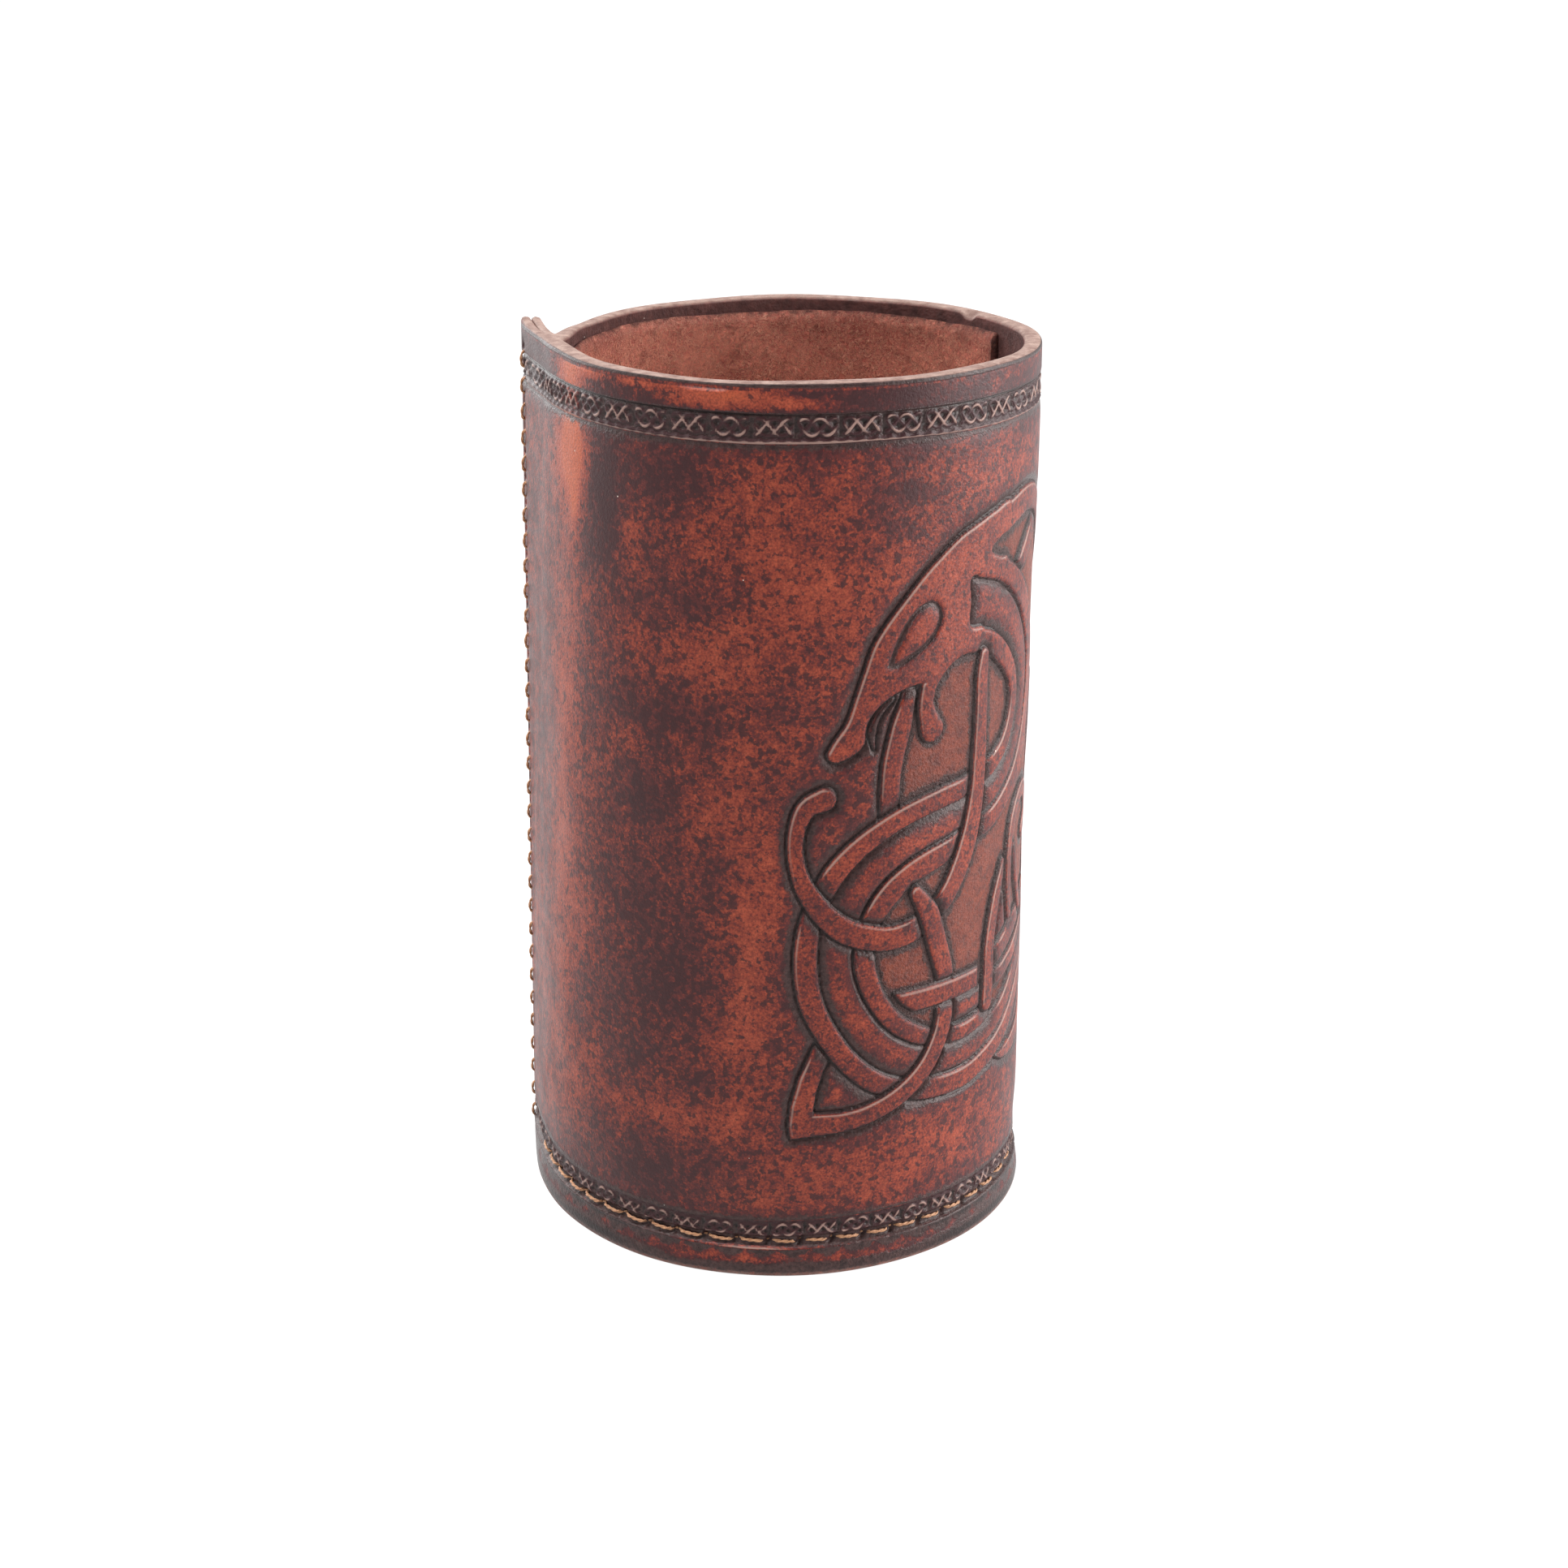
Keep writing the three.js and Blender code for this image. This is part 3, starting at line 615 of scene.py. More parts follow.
PATCHES = [
    (-42.0, 124, 5.0, 6, 2.2), (-40.5, 116, 1.8, 3.2, 1.1), (-43, 136, 6.5, 5, 2.2),
    (-35, 136.8, 3.5, 1.0, 1.4), (-26, 137, 5, 1.1, 1.7), (-17, 135.8, 5, 1.7, 1.3),
    (-9, 135.9, 6, 2.4, 1.8), (0, 134.9, 4, 0.9, 1.5), (38, 136, 10, 1.6, 0.7), (24, 136.6, 5, 0.7, 0.5),
    (-33.0, 122, 4.2, 9, -1.0), (-31, 112, 4.5, 7, -0.5), (-20, 124, 8, 4.5, -0.7),
    (-27, 115, 2.6, 2.6, 0.8), (-4, 119, 9, 7, 0.45), (3, 108, 8, 6, 0.45), (-12, 98, 9, 3.6, 0.4),
    (-17, 104.5, 6, 3, -0.3), (-20, 88, 14, 4.5, -0.6), (-25, 84, 4, 2.2, 0.4), (-23, 75, 7, 5, -0.5),
    (-9, 74, 6, 5, 0.35), (-5, 56, 3, 12, 0.7), (-6, 84, 5, 4, 0.35), (-21, 57, 9, 8, -0.48),
    (-18, 47, 10, 6, -0.42), (-6, 41, 6, 5, 0.3), (-22, 37, 9, 7, -0.5), (-12, 25, 9, 3, 0.45),
    (-26, 25, 4, 3, 0.35), (-33, 27, 5, 5, 0.2), (-22, 15, 9, 4.5, -0.7), (-35, 15, 5, 4, -0.3),
    (-2, 68, 3.5, 6, 0.3), (-43, 55, 6, 50, 0.5), (-44, 95, 5, 12, 0.35), (5, 17, 10, 4, 0.3),
    (-2, 13, 7, 3, 0.2), (19, 121.5, 6, 1.4, -0.75), (15, 116.5, 3, 1.6, -0.5), (30, 122, 12, 3, 0.3),
(24, 109, 6, 5, 0.35), (30, 17, 12, 5, 0.3), (0, 3, 14, 1.2, 0.2), ]


def patches(xs, zs):
    warmth = np.zeros((len(zs), len(xs))) - 0.75 * smoothstep(zs[:, None], RIM_BAND, RIM_BAND + 0.4)
    for place, level, wide, tall, amount in PATCHES:
        fall = ((xs[None, :] - place) / wide) ** 2 + ((zs[:, None] - level) / tall) ** 2
        warmth += amount * np.exp(-fall)
    z = zs[:, None]
    bordered = ((z > TOP_BORDER) & (z < RIM_BAND)) | ((z > GROOVE_TOP) & (z < LOW_BORDER))
    warmth -= 1.5 * bordered
    return warmth


# ------------------------------------------------------------------ the wall's mesh

# Heights of the wall's rows: close together in the borders and the carving.
WALL_HEIGHTS = graded([1.1, 4.3, 9.8, 20, 119.5, 128.5, 134.2, 136.7], [0.8, 0.17, 0.8, 0.26, 0.8, 0.17, 0.5])


def unevenness(place, z):
    """Slow waves that keep the hand-bent wall from being a perfect cone."""
    return (0.16 * np.sin(place / 23 + z / 31) + 0.1 * np.sin(place / 9.5 - z / 17 + 2)
            + 0.05 * np.sin(place / 4.1 + z / 6.3))


def girth(z):
    """How far the wall bellies out of a straight cone: drawn in above the base seam, pressed out below it."""
    return 0.42 * smoothstep(-z, -5.0, -0.8) - 0.42 * fade(z - 10.5, 5.0)


def worn_rim(place):
    """How far the rim's top lies above or below its true height."""
    return 0.14 * np.sin(place / 15) + 0.07 * np.sin(place / 4.7 + 1) - 0.14


NICK = math.radians(37.5 + 360 - FRONT) * NOMINAL


def worn_levels(levels, shares):
    """Heights of the rows at the rim after wear, with the corners at both ends risen and one nick inside."""
    levels = levels + worn_rim(PLACES)[None, :] * smoothstep(levels, 130, 137)
    rise = 0.8 * fade(EDGE_DISTANCE, 2.6)[None, :]
    levels = levels + rise * smoothstep(levels, 136.5, 138)
    nick = fade(PLACES - NICK, 1.7, 4)[None, :] * smoothstep(shares, 0.5, 0.9)
    return levels - 0.8 * nick * smoothstep(levels, 135, 137)


def quarter_round(angles, radius):
    """Drop from a flat edge, and share of the wall's thickness, of points on a rounded corner."""
    turn = np.radians(angles)
    return radius * (1 - np.sin(turn)), radius * (1 - np.cos(turn)) / WALL


def build_wall():
    xs, zs = PLACES, WALL_HEIGHTS
    height, dye_and_highlight, matted, plain = sampled_finely(carving, xs, zs)
    more_height, border_dye_and_highlight = sampled_finely(borders, xs, zs)
    height = height * (1 - 0.5 * smoothstep(xs, 42, 54)) + more_height + holes(xs, zs)
    grid_x = xs[None, :] * np.ones((len(zs), 1))
    grid_z = zs[:, None] * np.ones((1, len(xs)))
    calm = smoothstep(EDGE_DISTANCE, 8, 18)[None, :]
    height += (unevenness(grid_x, grid_z) + girth(grid_z) - 0.03) * calm

    outer, inner = outline_at(zs)
    outward = unit(outer - inner)
    skin = outer + outward * height[..., None]
    rows = [np.concatenate([skin, grid_z[..., None]], -1)]
    maps = {"dye_and_highlight": [dye_and_highlight + border_dye_and_highlight], "warmth": [patches(xs, zs)], "matted": [matted], "plain": [plain],
            "edge": [np.zeros_like(grid_z)], "flesh": [np.zeros_like(grid_z)]}

    def add_rows(levels, shares, edge, flesh, lift):
        """Rows that go round the rim or the bottom edge: each has a height and a share of the thickness."""
        out, inn = outline_at(np.asarray(levels))
        top_lift = (height[-1] if lift else height[0])[None, :, None]
        out = out + outward[-1 if lift else 0][None] * top_lift
        shares = np.asarray(shares, float)[:, None, None]
        points = out * (1 - shares) + inn * shares
        levels = np.asarray(levels, float)[:, None] * np.ones((1, len(xs)))
        rim_line = 0.0
        if lift:
            levels = worn_levels(levels, shares[..., 0])
            rim_line = 1.1 * fade(levels - HEIGHT + 0.45, 0.3) * (shares[..., 0] < 0.1)
        rows.append(np.concatenate([points, levels[..., None]], -1))
        values = {"dye_and_highlight": rim_line, "edge": edge, "flesh": flesh}
        for name, stack in maps.items():
            value = np.asarray(values.get(name, 0.0), float)
            if value.ndim == 1:
                value = value[:, None]
            stack.append(np.broadcast_to(value, levels.shape))

    add_rows([137.0, 137.3], [0, 0], 0.0, 0, True)
    drop, share = quarter_round([12, 28, 46, 66, 86], 0.55)
    add_rows(HEIGHT - drop, share, [0.0, 0.3, 0.8, 1, 1], 0, True)
    add_rows([HEIGHT + 0.02, HEIGHT + 0.05, HEIGHT + 0.02], [0.38, 0.55, 0.72], 1, 0, True)
    drop, share = quarter_round([70, 45, 20, 0], 0.5)
    add_rows(HEIGHT - drop, 1 - share, [1, 0.9, 0.6, 0.3], [0, 0.1, 0.5, 0.9], True)
    inner_levels = np.concatenate([[137, 136.4, 135.6, 134.5, 132.5], np.linspace(128, 8, 21), [4, 1.2]])
    add_rows(inner_levels, np.ones(len(inner_levels)), 0, 1, True)
    drop, share = quarter_round([0, 30, 60, 90], 0.6)
    add_rows(drop, 1 - share, 0.6, [0.9, 0.5, 0.1, 0], False)
    drop, share = quarter_round([90, 60, 30], 0.6)
    add_rows(drop, share, 0.6, 0, False)

    wall = closed_sheet("tooled_wall", np.concatenate(rows), len(zs))
    maps["dye_and_highlight"] = [np.clip(np.concatenate(maps["dye_and_highlight"]), -0.6, 1.3)]
    for name, stack in maps.items():
        add_attribute(wall, name, np.concatenate(stack))
    return wall


def closed_sheet(name, grid, outer_rows):
    """A mesh from rows of points that go up the outside, down the inside and back to the first row."""
    row_count, column_count = grid.shape[:2]
    vertices = grid.reshape(-1, 3)
    index = np.arange(row_count * column_count).reshape(row_count, column_count)
    following = np.roll(index, -1, axis=0)
    quads = np.stack([index[:, :-1], index[:, 1:], following[:, 1:], following[:, :-1]], -1)
    faces = quads.reshape(-1, 4).tolist()
    for column, flip in ((0, False), (column_count - 1, True)):
        faces += end_cap(index[:, column], vertices, outer_rows, flip)
    return mesh_object(name, vertices, faces)


def end_cap(ring, vertices, outer_rows, flip):
    """Triangles that close one end of the sheet, between its outer rows and the rest of the ring."""
    rising = list(ring[:outer_rows])
    falling = list(ring[outer_rows:])[::-1]
    faces = []
    i = j = 0
    while i < len(rising) - 1 or j < len(falling) - 1:
        next_rise = vertices[rising[i + 1]][2] if i < len(rising) - 1 else np.inf
        next_fall = vertices[falling[j + 1]][2] if j < len(falling) - 1 else np.inf
        if next_rise <= next_fall:
            face = (rising[i], rising[i + 1], falling[j])
            i += 1
        else:
            face = (rising[i], falling[j + 1], falling[j])
            j += 1
        faces.append(tuple(reversed(face)) if flip else face)
    return [tuple(int(v) for v in face) for face in faces]


wall = build_wall()
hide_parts("outer_wall")
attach(wall, "root")


# ------------------------------------------------------------------ other sheets and turned pieces

def swept(name, rings):
    """A mesh through rings of points, each ring a closed section, with both ends filled."""
    count, size = rings.shape[:2]
    index = np.arange(count * size).reshape(count, size)
    follow = np.roll(index, -1, axis=1)
    sides = np.stack([index[:-1], index[1:], follow[1:], follow[:-1]], -1).reshape(-1, 4)
    faces = sides.tolist() + [index[0].tolist(), index[-1][::-1].tolist()]
    return mesh_object(name, rings.reshape(-1, 3), faces)


def circle_at(z):
    share = z / HEIGHT
    centre = BASE["centre"] * (1 - share) + RIM["centre"] * share
    radius = BASE["radius"] * (1 - share) + RIM["radius"] * share
    return centre, radius


FIT = 0.3
LINING = 0.9
LINING_TOP = HEIGHT - 2.2
LINING_ANGLES = (23, 348)
FLOOR_TOP = 9.4
BASE_LEATHER = 2.5
BASE_LIFT = 0.6
PAD = 1.0


def lining_reach(angles, zs):
    """Distance from the wall's middle line to its inner face, in each direction and at each height."""
    inner = outline_at(zs)[1]
    first = sum(FRONT_COUNTS[:4])
    last = len(PLACES) - sum(LAYER_COUNTS)
    reaches = []
    for points, z in zip(inner, zs):
        centre = circle_at(z)[0]
        away = points[first:last] - [centre, 0]
        around = np.degrees(np.unwrap(np.arctan2(away[:, 1], away[:, 0])))
        around += 360 * round((540 - around[-1]) / 360)
        distance = np.hypot(*away.T)
        rising = np.concatenate([[True], np.diff(np.maximum.accumulate(around)) > 0])
        around, distance = around[rising], distance[rising]
        fold = 2.5
        samples = []
        for shift in (-fold, -fold / 2, 0, fold / 2, fold):
            turned_to = (angles - around[0] + shift) % 360 + around[0]
            samples.append(np.interp(turned_to, around, distance))
        reaches.append(np.min(samples, axis=0) * 0.6 + np.mean(samples, axis=0) * 0.4)
    return np.array(reaches)


def build_lining():
    angles = np.linspace(*LINING_ANGLES, 460)
    low_z = FLOOR_TOP + FIT
    section = [(z, 0.0) for z in np.linspace(low_z, LINING_TOP - 0.5, 12)]
    for drop, share in ((0.1, 0.08), (0, 0.2), (0.1, 0.36), (0.4, 0.6), (0.8, 0.85)):
        section.append((LINING_TOP - drop, share))
    section += [(z, 1.0) for z in np.linspace(LINING_TOP - 1.4, low_z, 150)]
    levels = np.array([z for z, share in section])
    shares = np.array([share for z, share in section])[:, None]
    place = np.radians(angles)[None, :] * NOMINAL
    z = levels[:, None]
    ripple = 0.07 * np.sin(place / 6.1 + z / 9) + 0.05 * np.sin(place / 2.3 - z / 5.1)
    ripple += 0.04 * np.sin(place / 1.3 + z / 2.1 + np.sin(place / 3)) * np.sin(z / 4.7)
    reach = lining_reach(angles, levels) - 0.12 - shares * LINING + shares * (ripple - 0.1)
    uneven = 0.14 * np.sin(place / 6.5) + 0.05 * np.sin(place / 1.9 + 2) + 0.03 * np.sin(place / 0.8)
    tops = z + uneven * smoothstep(z, LINING_TOP - 12, LINING_TOP)
    centre = np.array([circle_at(level)[0] for level in levels])[:, None]
    turn = np.radians(angles)[None, :]
    grid = np.stack([centre + reach * np.cos(turn), reach * np.sin(turn), tops], -1)
    sheet = swept("lining_sheet", grid.transpose(1, 0, 2))
    side = np.minimum(place - place.min(), place.max() - place)
    edge_gap = np.minimum(LINING_TOP - z, side * 1.4)
    add_attribute(sheet, "edge", (np.exp(-edge_gap / 1.1)).T)
    return sheet


TURNED_SEGMENTS = 240
CORNER_POINTS = 5


def turned(name, profile, waves):
    """A disc-like piece turned from half a profile, with its flat faces gently uneven."""
    rings = []
    for k in range(TURNED_SEGMENTS):
        angle = 2 * math.pi * k / TURNED_SEGMENTS
        ring = []
        for radius, z in profile:
            centre = circle_at(z)[0]
            lift = waves * math.sin(radius / 2.9 + 2.2 * math.sin(angle)) * math.sin(radius / 5.3 + angle * 2)
            ring.append((centre + radius * math.cos(angle), radius * math.sin(angle), z + lift))
        rings.append(ring)
    rings = np.asarray(rings)
    inner_points = rings[:, 1:-1]
    count, size = inner_points.shape[:2]
    vertices = list(inner_points.reshape(-1, 3)) + [rings[0, 0], rings[0, -1]]
    first, final = count * size, count * size + 1
    index = np.arange(count * size).reshape(count, size)
    faces = []
    for i in range(count):
        j = (i + 1) % count
        faces += np.stack([index[i, :-1], index[i, 1:], index[j, 1:], index[j, :-1]], -1).tolist()
        faces.append([first, int(index[i, 0]), int(index[j, 0])])
        faces.append([final, int(index[j, -1]), int(index[i, -1])])
    return mesh_object(name, vertices, faces)


def rounded_profile(corners, radii):
    """Corner points of a profile with each inner corner rounded."""
    points = [corners[0]]
    for before, corner, after, radius in zip(corners, corners[1:], corners[2:], radii):
        corner = np.asarray(corner, float)
        start = corner + unit(before - corner) * radius
        end = corner + unit(after - corner) * radius
        for t in np.linspace(0, 1, CORNER_POINTS):
            points.append(tuple(start * (1 - t) ** 2 + 2 * corner * t * (1 - t) + end * t * t))
    points.append(corners[-1])
    return points


def with_steps(profile, longest):
    points = [profile[0]]
    for a, b in zip(profile, profile[1:]):
        count = max(1, math.ceil(math.dist(a, b) / longest))
        for k in range(1, count + 1):
            points.append((a[0] + (b[0] - a[0]) * k / count, a[1] + (b[1] - a[1]) * k / count))
    return points


def build_base():
    outer = BASE["radius"] - WALL - 2 * FIT
    inner = outer - BASE_LEATHER
    under = FLOOR_TOP - BASE_LEATHER
    corners = [(0, FLOOR_TOP), (outer, FLOOR_TOP), (outer, BASE_LIFT), (inner, BASE_LIFT), (inner, under),
               (0, under)]
    profile = rounded_profile(corners, [2.2, 0.5, 0.5, 2.0])
    return turned("shaped_base", with_steps(profile, 1.2), 0.04)


def build_pad():
    radius = BASE["radius"] - WALL - 3 * FIT - LINING - 0.4
    low_z = FLOOR_TOP + FIT
    corners = [(0, low_z + PAD), (radius, low_z + PAD), (radius, low_z), (0, low_z)]
    profile = rounded_profile(corners, [0.35, 0.2])
    return turned("pad_disc", with_steps(profile, 0.9), 0.05)


# ------------------------------------------------------------------ thread

PLY = 0.18  # radius of one ply
PLY_OFFSET = 0.11
PLY_SIDES = 8
PLY_FLATNESS = 0.85
TWIST = 2.4  # length of one turn of the two plies


def ply_tubes(path, outward, vertices, faces, phase=0.0):
    """Adds two twisted plies along a path. Outward is the side that the plies are flattened towards."""
    path = np.asarray(path, float)
    tangent = unit(np.gradient(path, axis=0))
    up = np.broadcast_to(np.asarray(outward, float), path.shape)
    side = unit(np.cross(tangent, up))
    up = np.cross(side, tangent)
    travelled = np.concatenate([[0], np.cumsum(np.linalg.norm(np.diff(path, axis=0), axis=1))])
    for ply in range(2):
        turn = 2 * np.pi * travelled / TWIST + ply * np.pi + phase
        around = np.cos(turn)[:, None] * side + PLY_FLATNESS * np.sin(turn)[:, None] * up
        middle = path + PLY_OFFSET * around
        first = len(vertices)
        for point, across, over in zip(middle, side, up):
            for angle in 2 * np.pi * np.arange(PLY_SIDES) / PLY_SIDES:
                away = math.cos(angle) * across + PLY_FLATNESS * math.sin(angle) * over
                vertices.append(point + PLY * away)
        last = len(vertices) - PLY_SIDES
        for a in range(first, last, PLY_SIDES):
            for k in range(PLY_SIDES):
                n = (k + 1) % PLY_SIDES
                faces.append((a + k, a + n, a + n + PLY_SIDES, a + k + PLY_SIDES))
        faces.append(tuple(range(first, first + PLY_SIDES))[::-1])
        faces.append(tuple(range(last, last + PLY_SIDES)))


def stitch(start, end, outward, lift, sink, slant, vertices, faces, number, share=0.76):
    """One stitch between two holes: it rises out of one, lies along the leather and dips into the next."""
    start, end = np.asarray(start, float), np.asarray(end, float)
    across = np.cross(unit(end - start), outward)
    t = (1 - np.cos(np.pi * np.linspace(0, 1, 19))) / 2
    rise = 1 - np.abs(2 * t - 1) ** 7
    swell = np.sin(np.pi * t)
    spread = 0.5 + share * (t - 0.5)
    path = start + (end - start) * spread[:, None]
    path = path + outward * (lift * swell - sink * (1 - rise))[:, None]
    path = path + across * (slant * (t - 0.5) * 2 + 0.05 * math.sin(number * 2.4) * swell)[:, None]
    ply_tubes(path, outward, vertices, faces, phase=number * 1.7)


def straight_thread(start, end, shares, vertices, faces):
    """A run of thread through the leather, with points at the given shares of the way."""
    ply_tubes(start + (end - start) * shares[:, None], (0, 0, 1), vertices, faces)


def skin_point(place, z):
    """A point on the wall's outer face, and the direction out of it."""
    outer, inner = outline_at(np.array([z]))
    point = np.array([np.interp(place, PLACES, outer[0, :, i]) for i in range(2)])
    within = np.array([np.interp(place, PLACES, inner[0, :, i]) for i in range(2)])
    out = unit(point - within)
    return np.array([point[0], point[1], z]), np.array([out[0], out[1], 0])


def build_base_thread():
    vertices, faces = [], []
    places = stitch_places()
    back_radius = BASE["radius"] - WALL - 2 * FIT - BASE_LEATHER - 0.35
    centre = circle_at(STITCH_HEIGHT)[0]
    fronts, backs, outs = [], [], []
    for place, angle in zip(places, STITCH_ANGLES):
        point, out = skin_point(place, STITCH_HEIGHT)
        fronts.append(point + out * (girth(STITCH_HEIGHT) - 0.45))
        outs.append(out)
        turn = math.radians(angle)
        x, y = centre + back_radius * math.cos(turn), back_radius * math.sin(turn)
        backs.append(np.array([x, y, STITCH_HEIGHT]))
    for k in range(len(places) - 1):
        out = unit(outs[k] + outs[k + 1])
        stitch(fronts[k], fronts[k + 1], out, 0.18, 0.8, 0.12, vertices, faces, k)
        turn = math.radians(STITCH_ANGLES[k] + STITCH_PITCH / 2)
        inward = -np.array([math.cos(turn), math.sin(turn), 0])
        stitch(backs[k], backs[k + 1], inward, 0.06, 1.0, 0.12, vertices, faces, k)
    for front, back in zip(fronts, backs):
        straight_thread(front, back, np.linspace(0.12, 0.88, 6), vertices, faces)
    return mesh_object("base_stitching", vertices, faces)


def build_seam_thread():
    vertices, faces = [], []
    curves = [front_curve(end) for end in (BASE, RIM)]
    behind = 2 * SKIVED + SEAM_GAP

    def point(z, depth):
        share = z / HEIGHT
        spots = [curve.sunk(np.array(SEAM_INSET), np.array(float(depth))) for curve in curves]
        spot = spots[0] * (1 - share) + spots[1] * share
        return np.array([spot[0], spot[1], z])

    levels = [HEIGHT - SEAM_FIRST_HOLE - SEAM_PITCH * k for k in range(SEAM_HOLES)]
    for k, (z, below) in enumerate(zip(levels, levels[1:])):
        for depth, sign in ((0.0, 1), (behind, -1)):
            out = unit((point(z, 0) - point(z, behind)) * sign)
            start, end = point(z, depth) + out * 0.1, point(below, depth) + out * 0.1
            stitch(start, end, out, 0.2, 0.7, 0.25, vertices, faces, k, 0.66)
    for z in levels:
        straight_thread(point(z, 0.5), point(z, behind - 0.5), np.linspace(0, 1, 4), vertices, faces)
    return mesh_object("seam_stitching", vertices, faces)


lining = build_lining()
base = build_base()
pad = build_pad()
base_stitching = build_base_thread()
seam_stitching = build_seam_thread()

for obj, node, finish in (
    (lining, "wall_lining", "suede"),
    (base, "base_dish", "base_leather"),
    (pad, "floor_pad", "suede"),
    (base_stitching, "base_thread", "waxed_thread"),
    (seam_stitching, "seam_thread", "waxed_thread"),
):
    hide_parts(node)
    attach(obj, "root")


# ------------------------------------------------------------------ materials

class Shader:
    """A material under construction. Each method adds one node and returns its output."""

    def __init__(self, name):
        self.material = bpy.data.materials.new(name)
        self.material.use_nodes = True
        self.tree = self.material.node_tree
        self.shader = self.tree.nodes["Principled BSDF"]
        coordinates = self.tree.nodes.new("ShaderNodeTexCoord")
        self.position = coordinates.outputs["Object"]

    def put(self, socket, value):
        if isinstance(value, bpy.types.NodeSocket):
            self.tree.links.new(value, socket)
        elif isinstance(value, str):
            socket.default_value = colour(value)
        else:
            socket.default_value = value

    def node(self, kind, **inputs):
        """A new node with the named inputs set or linked."""
        node = self.tree.nodes.new("ShaderNode" + kind)
        for name, value in inputs.items():
            self.put(node.inputs[name.replace("_", " ")], value)
        return node

    def math(self, operation, a, b=0.0, clamp=False):
        node = self.node("Math")
        node.operation = operation
        node.use_clamp = clamp
        self.put(node.inputs[0], a)
        self.put(node.inputs[1], b)
        return node.outputs[0]

    def add(self, *values):
        total = values[0]
        for value in values[1:]:
            total = self.math("ADD", total, value)
        return total

    def times(self, a, b):
        return self.math("MULTIPLY", a, b)

    def noise(self, size, detail=3.0, roughness=0.55, distortion=0.0, seed=0.0):
        """Noise from 0 to 1 with features of that size in mm."""
        place = self.node("Mapping", Location=(seed, seed * 0.7, seed * 1.3), Vector=self.position).outputs[0]
        return self.node("TexNoise", Vector=place, Scale=1000.0 / size, Detail=detail, Roughness=roughness,
                         Distortion=distortion).outputs[0]

    def cells(self, size):
        """Distance to the nearest of random points that far apart in mm."""
        return self.node("TexVoronoi", Vector=self.position, Scale=1000.0 / size).outputs["Distance"]

    def attribute(self, name):
        node = self.node("Attribute")
        node.attribute_name = name
        return node.outputs["Fac"]

    def spread(self, value, low_in, high_in, low_out=0.0, high_out=1.0, smooth=False):
        node = self.node("MapRange", Value=value, From_Min=low_in, From_Max=high_in,
                         To_Min=low_out, To_Max=high_out)
        node.interpolation_type = "SMOOTHSTEP" if smooth else "LINEAR"
        return node.outputs["Result"]

    def mix(self, factor, a, b):
        node = self.node("Mix")
        node.data_type = "RGBA"
        self.put(node.inputs[0], factor)
        self.put(node.inputs[6], a)
        self.put(node.inputs[7], b)
        return node.outputs[2]

    def mottle(self, size, detail, a, b, low=0.3, high=0.7, seed=0.0):
        """Two colours mixed by noise with features of that size in mm."""
        return self.mix(self.spread(self.noise(size, detail, 0.7, seed=seed), low, high), a, b)

    def bump(self, height, distance, below=None):
        node = self.node("Bump", Strength=1.0, Distance=distance * MM, Height=height)
        if below is not None:
            self.put(node.inputs["Normal"], below)
        return node.outputs["Normal"]

    def finish(self, obj, colour_value, roughness, normal, **uniform):
        self.put(self.shader.inputs["Base Color"], colour_value)
        self.put(self.shader.inputs["Roughness"], roughness)
        self.put(self.shader.inputs["Normal"], normal)
        for name, value in uniform.items():
            self.put(self.shader.inputs[name.replace("_", " ")], value)
        obj.data.materials.append(self.material)


def colour(text):
    """A linear colour from its usual six hexadecimal digits."""
    channels = [int(text[i:i + 2], 16) / 255 for i in (1, 3, 5)]
    return tuple(c / 12.92 if c <= 0.04045 else ((c + 0.055) / 1.055) ** 2.4 for c in channels) + (1.0,)


def leather_tone(s, dye_and_highlight, warmth, matted, plain):
    """How light the dyed leather is from place to place, about 0 in the middle."""
    def swing(size, amount, detail=3.0, roughness=0.6, **more):
        return s.times(s.math("SUBTRACT", s.noise(size, detail, roughness, **more), 0.5), amount)

    busy = s.add(1.0, s.times(plain, -0.55))
    clouds = swing(26, 0.5, 3, 0.55, seed=3.0)
    blots = swing(7, 1.25, 4, 0.65, distortion=0.6, seed=7.0)
    spots = s.times(swing(1.9, 1.7, 4, 0.7, seed=11.0), busy)
    grit = swing(0.45, 1.9, 2, 0.6, seed=1.0)
    tone = s.add(clouds, blots, spots, grit, s.times(warmth, 0.72))
    dyed = s.math("MAXIMUM", dye_and_highlight, 0.0)
    return s.add(tone, s.times(matted, 0.2), s.times(dyed, -0.7), s.times(plain, 0.05), -0.06)


def leather_colour(s, tone, warmth, plain):
    """Oxblood leather: deep where the tone is low, red where it is high, with dark flecks and pores."""
    warm = s.spread(tone, -0.3, 0.2, smooth=True)
    red = s.mix(s.spread(tone, 0.05, 0.85), "#792e20", "#a04830")
    red = s.mix(s.spread(warmth, 0.95, 1.4), red, "#a84e2c")
    deep = s.mix(s.spread(tone, -1.0, -0.3), "#371719", "#532120")
    base_colour = s.mix(warm, deep, red)
    fleck = s.add(s.noise(1.1, 3, 0.5, seed=31.0), s.times(tone, 0.07), s.times(warmth, 0.09),
                  s.times(plain, 0.05))
    base_colour = s.mix(s.spread(fleck, 0.48, 0.425, 0, 0.8), base_colour, "#31161a")
    pores = s.spread(s.noise(0.3, 2, 0.5, seed=37.0), 0.42, 0.62, 0.0, 0.4)
    return s.mix(pores, base_colour, "#2a1213")


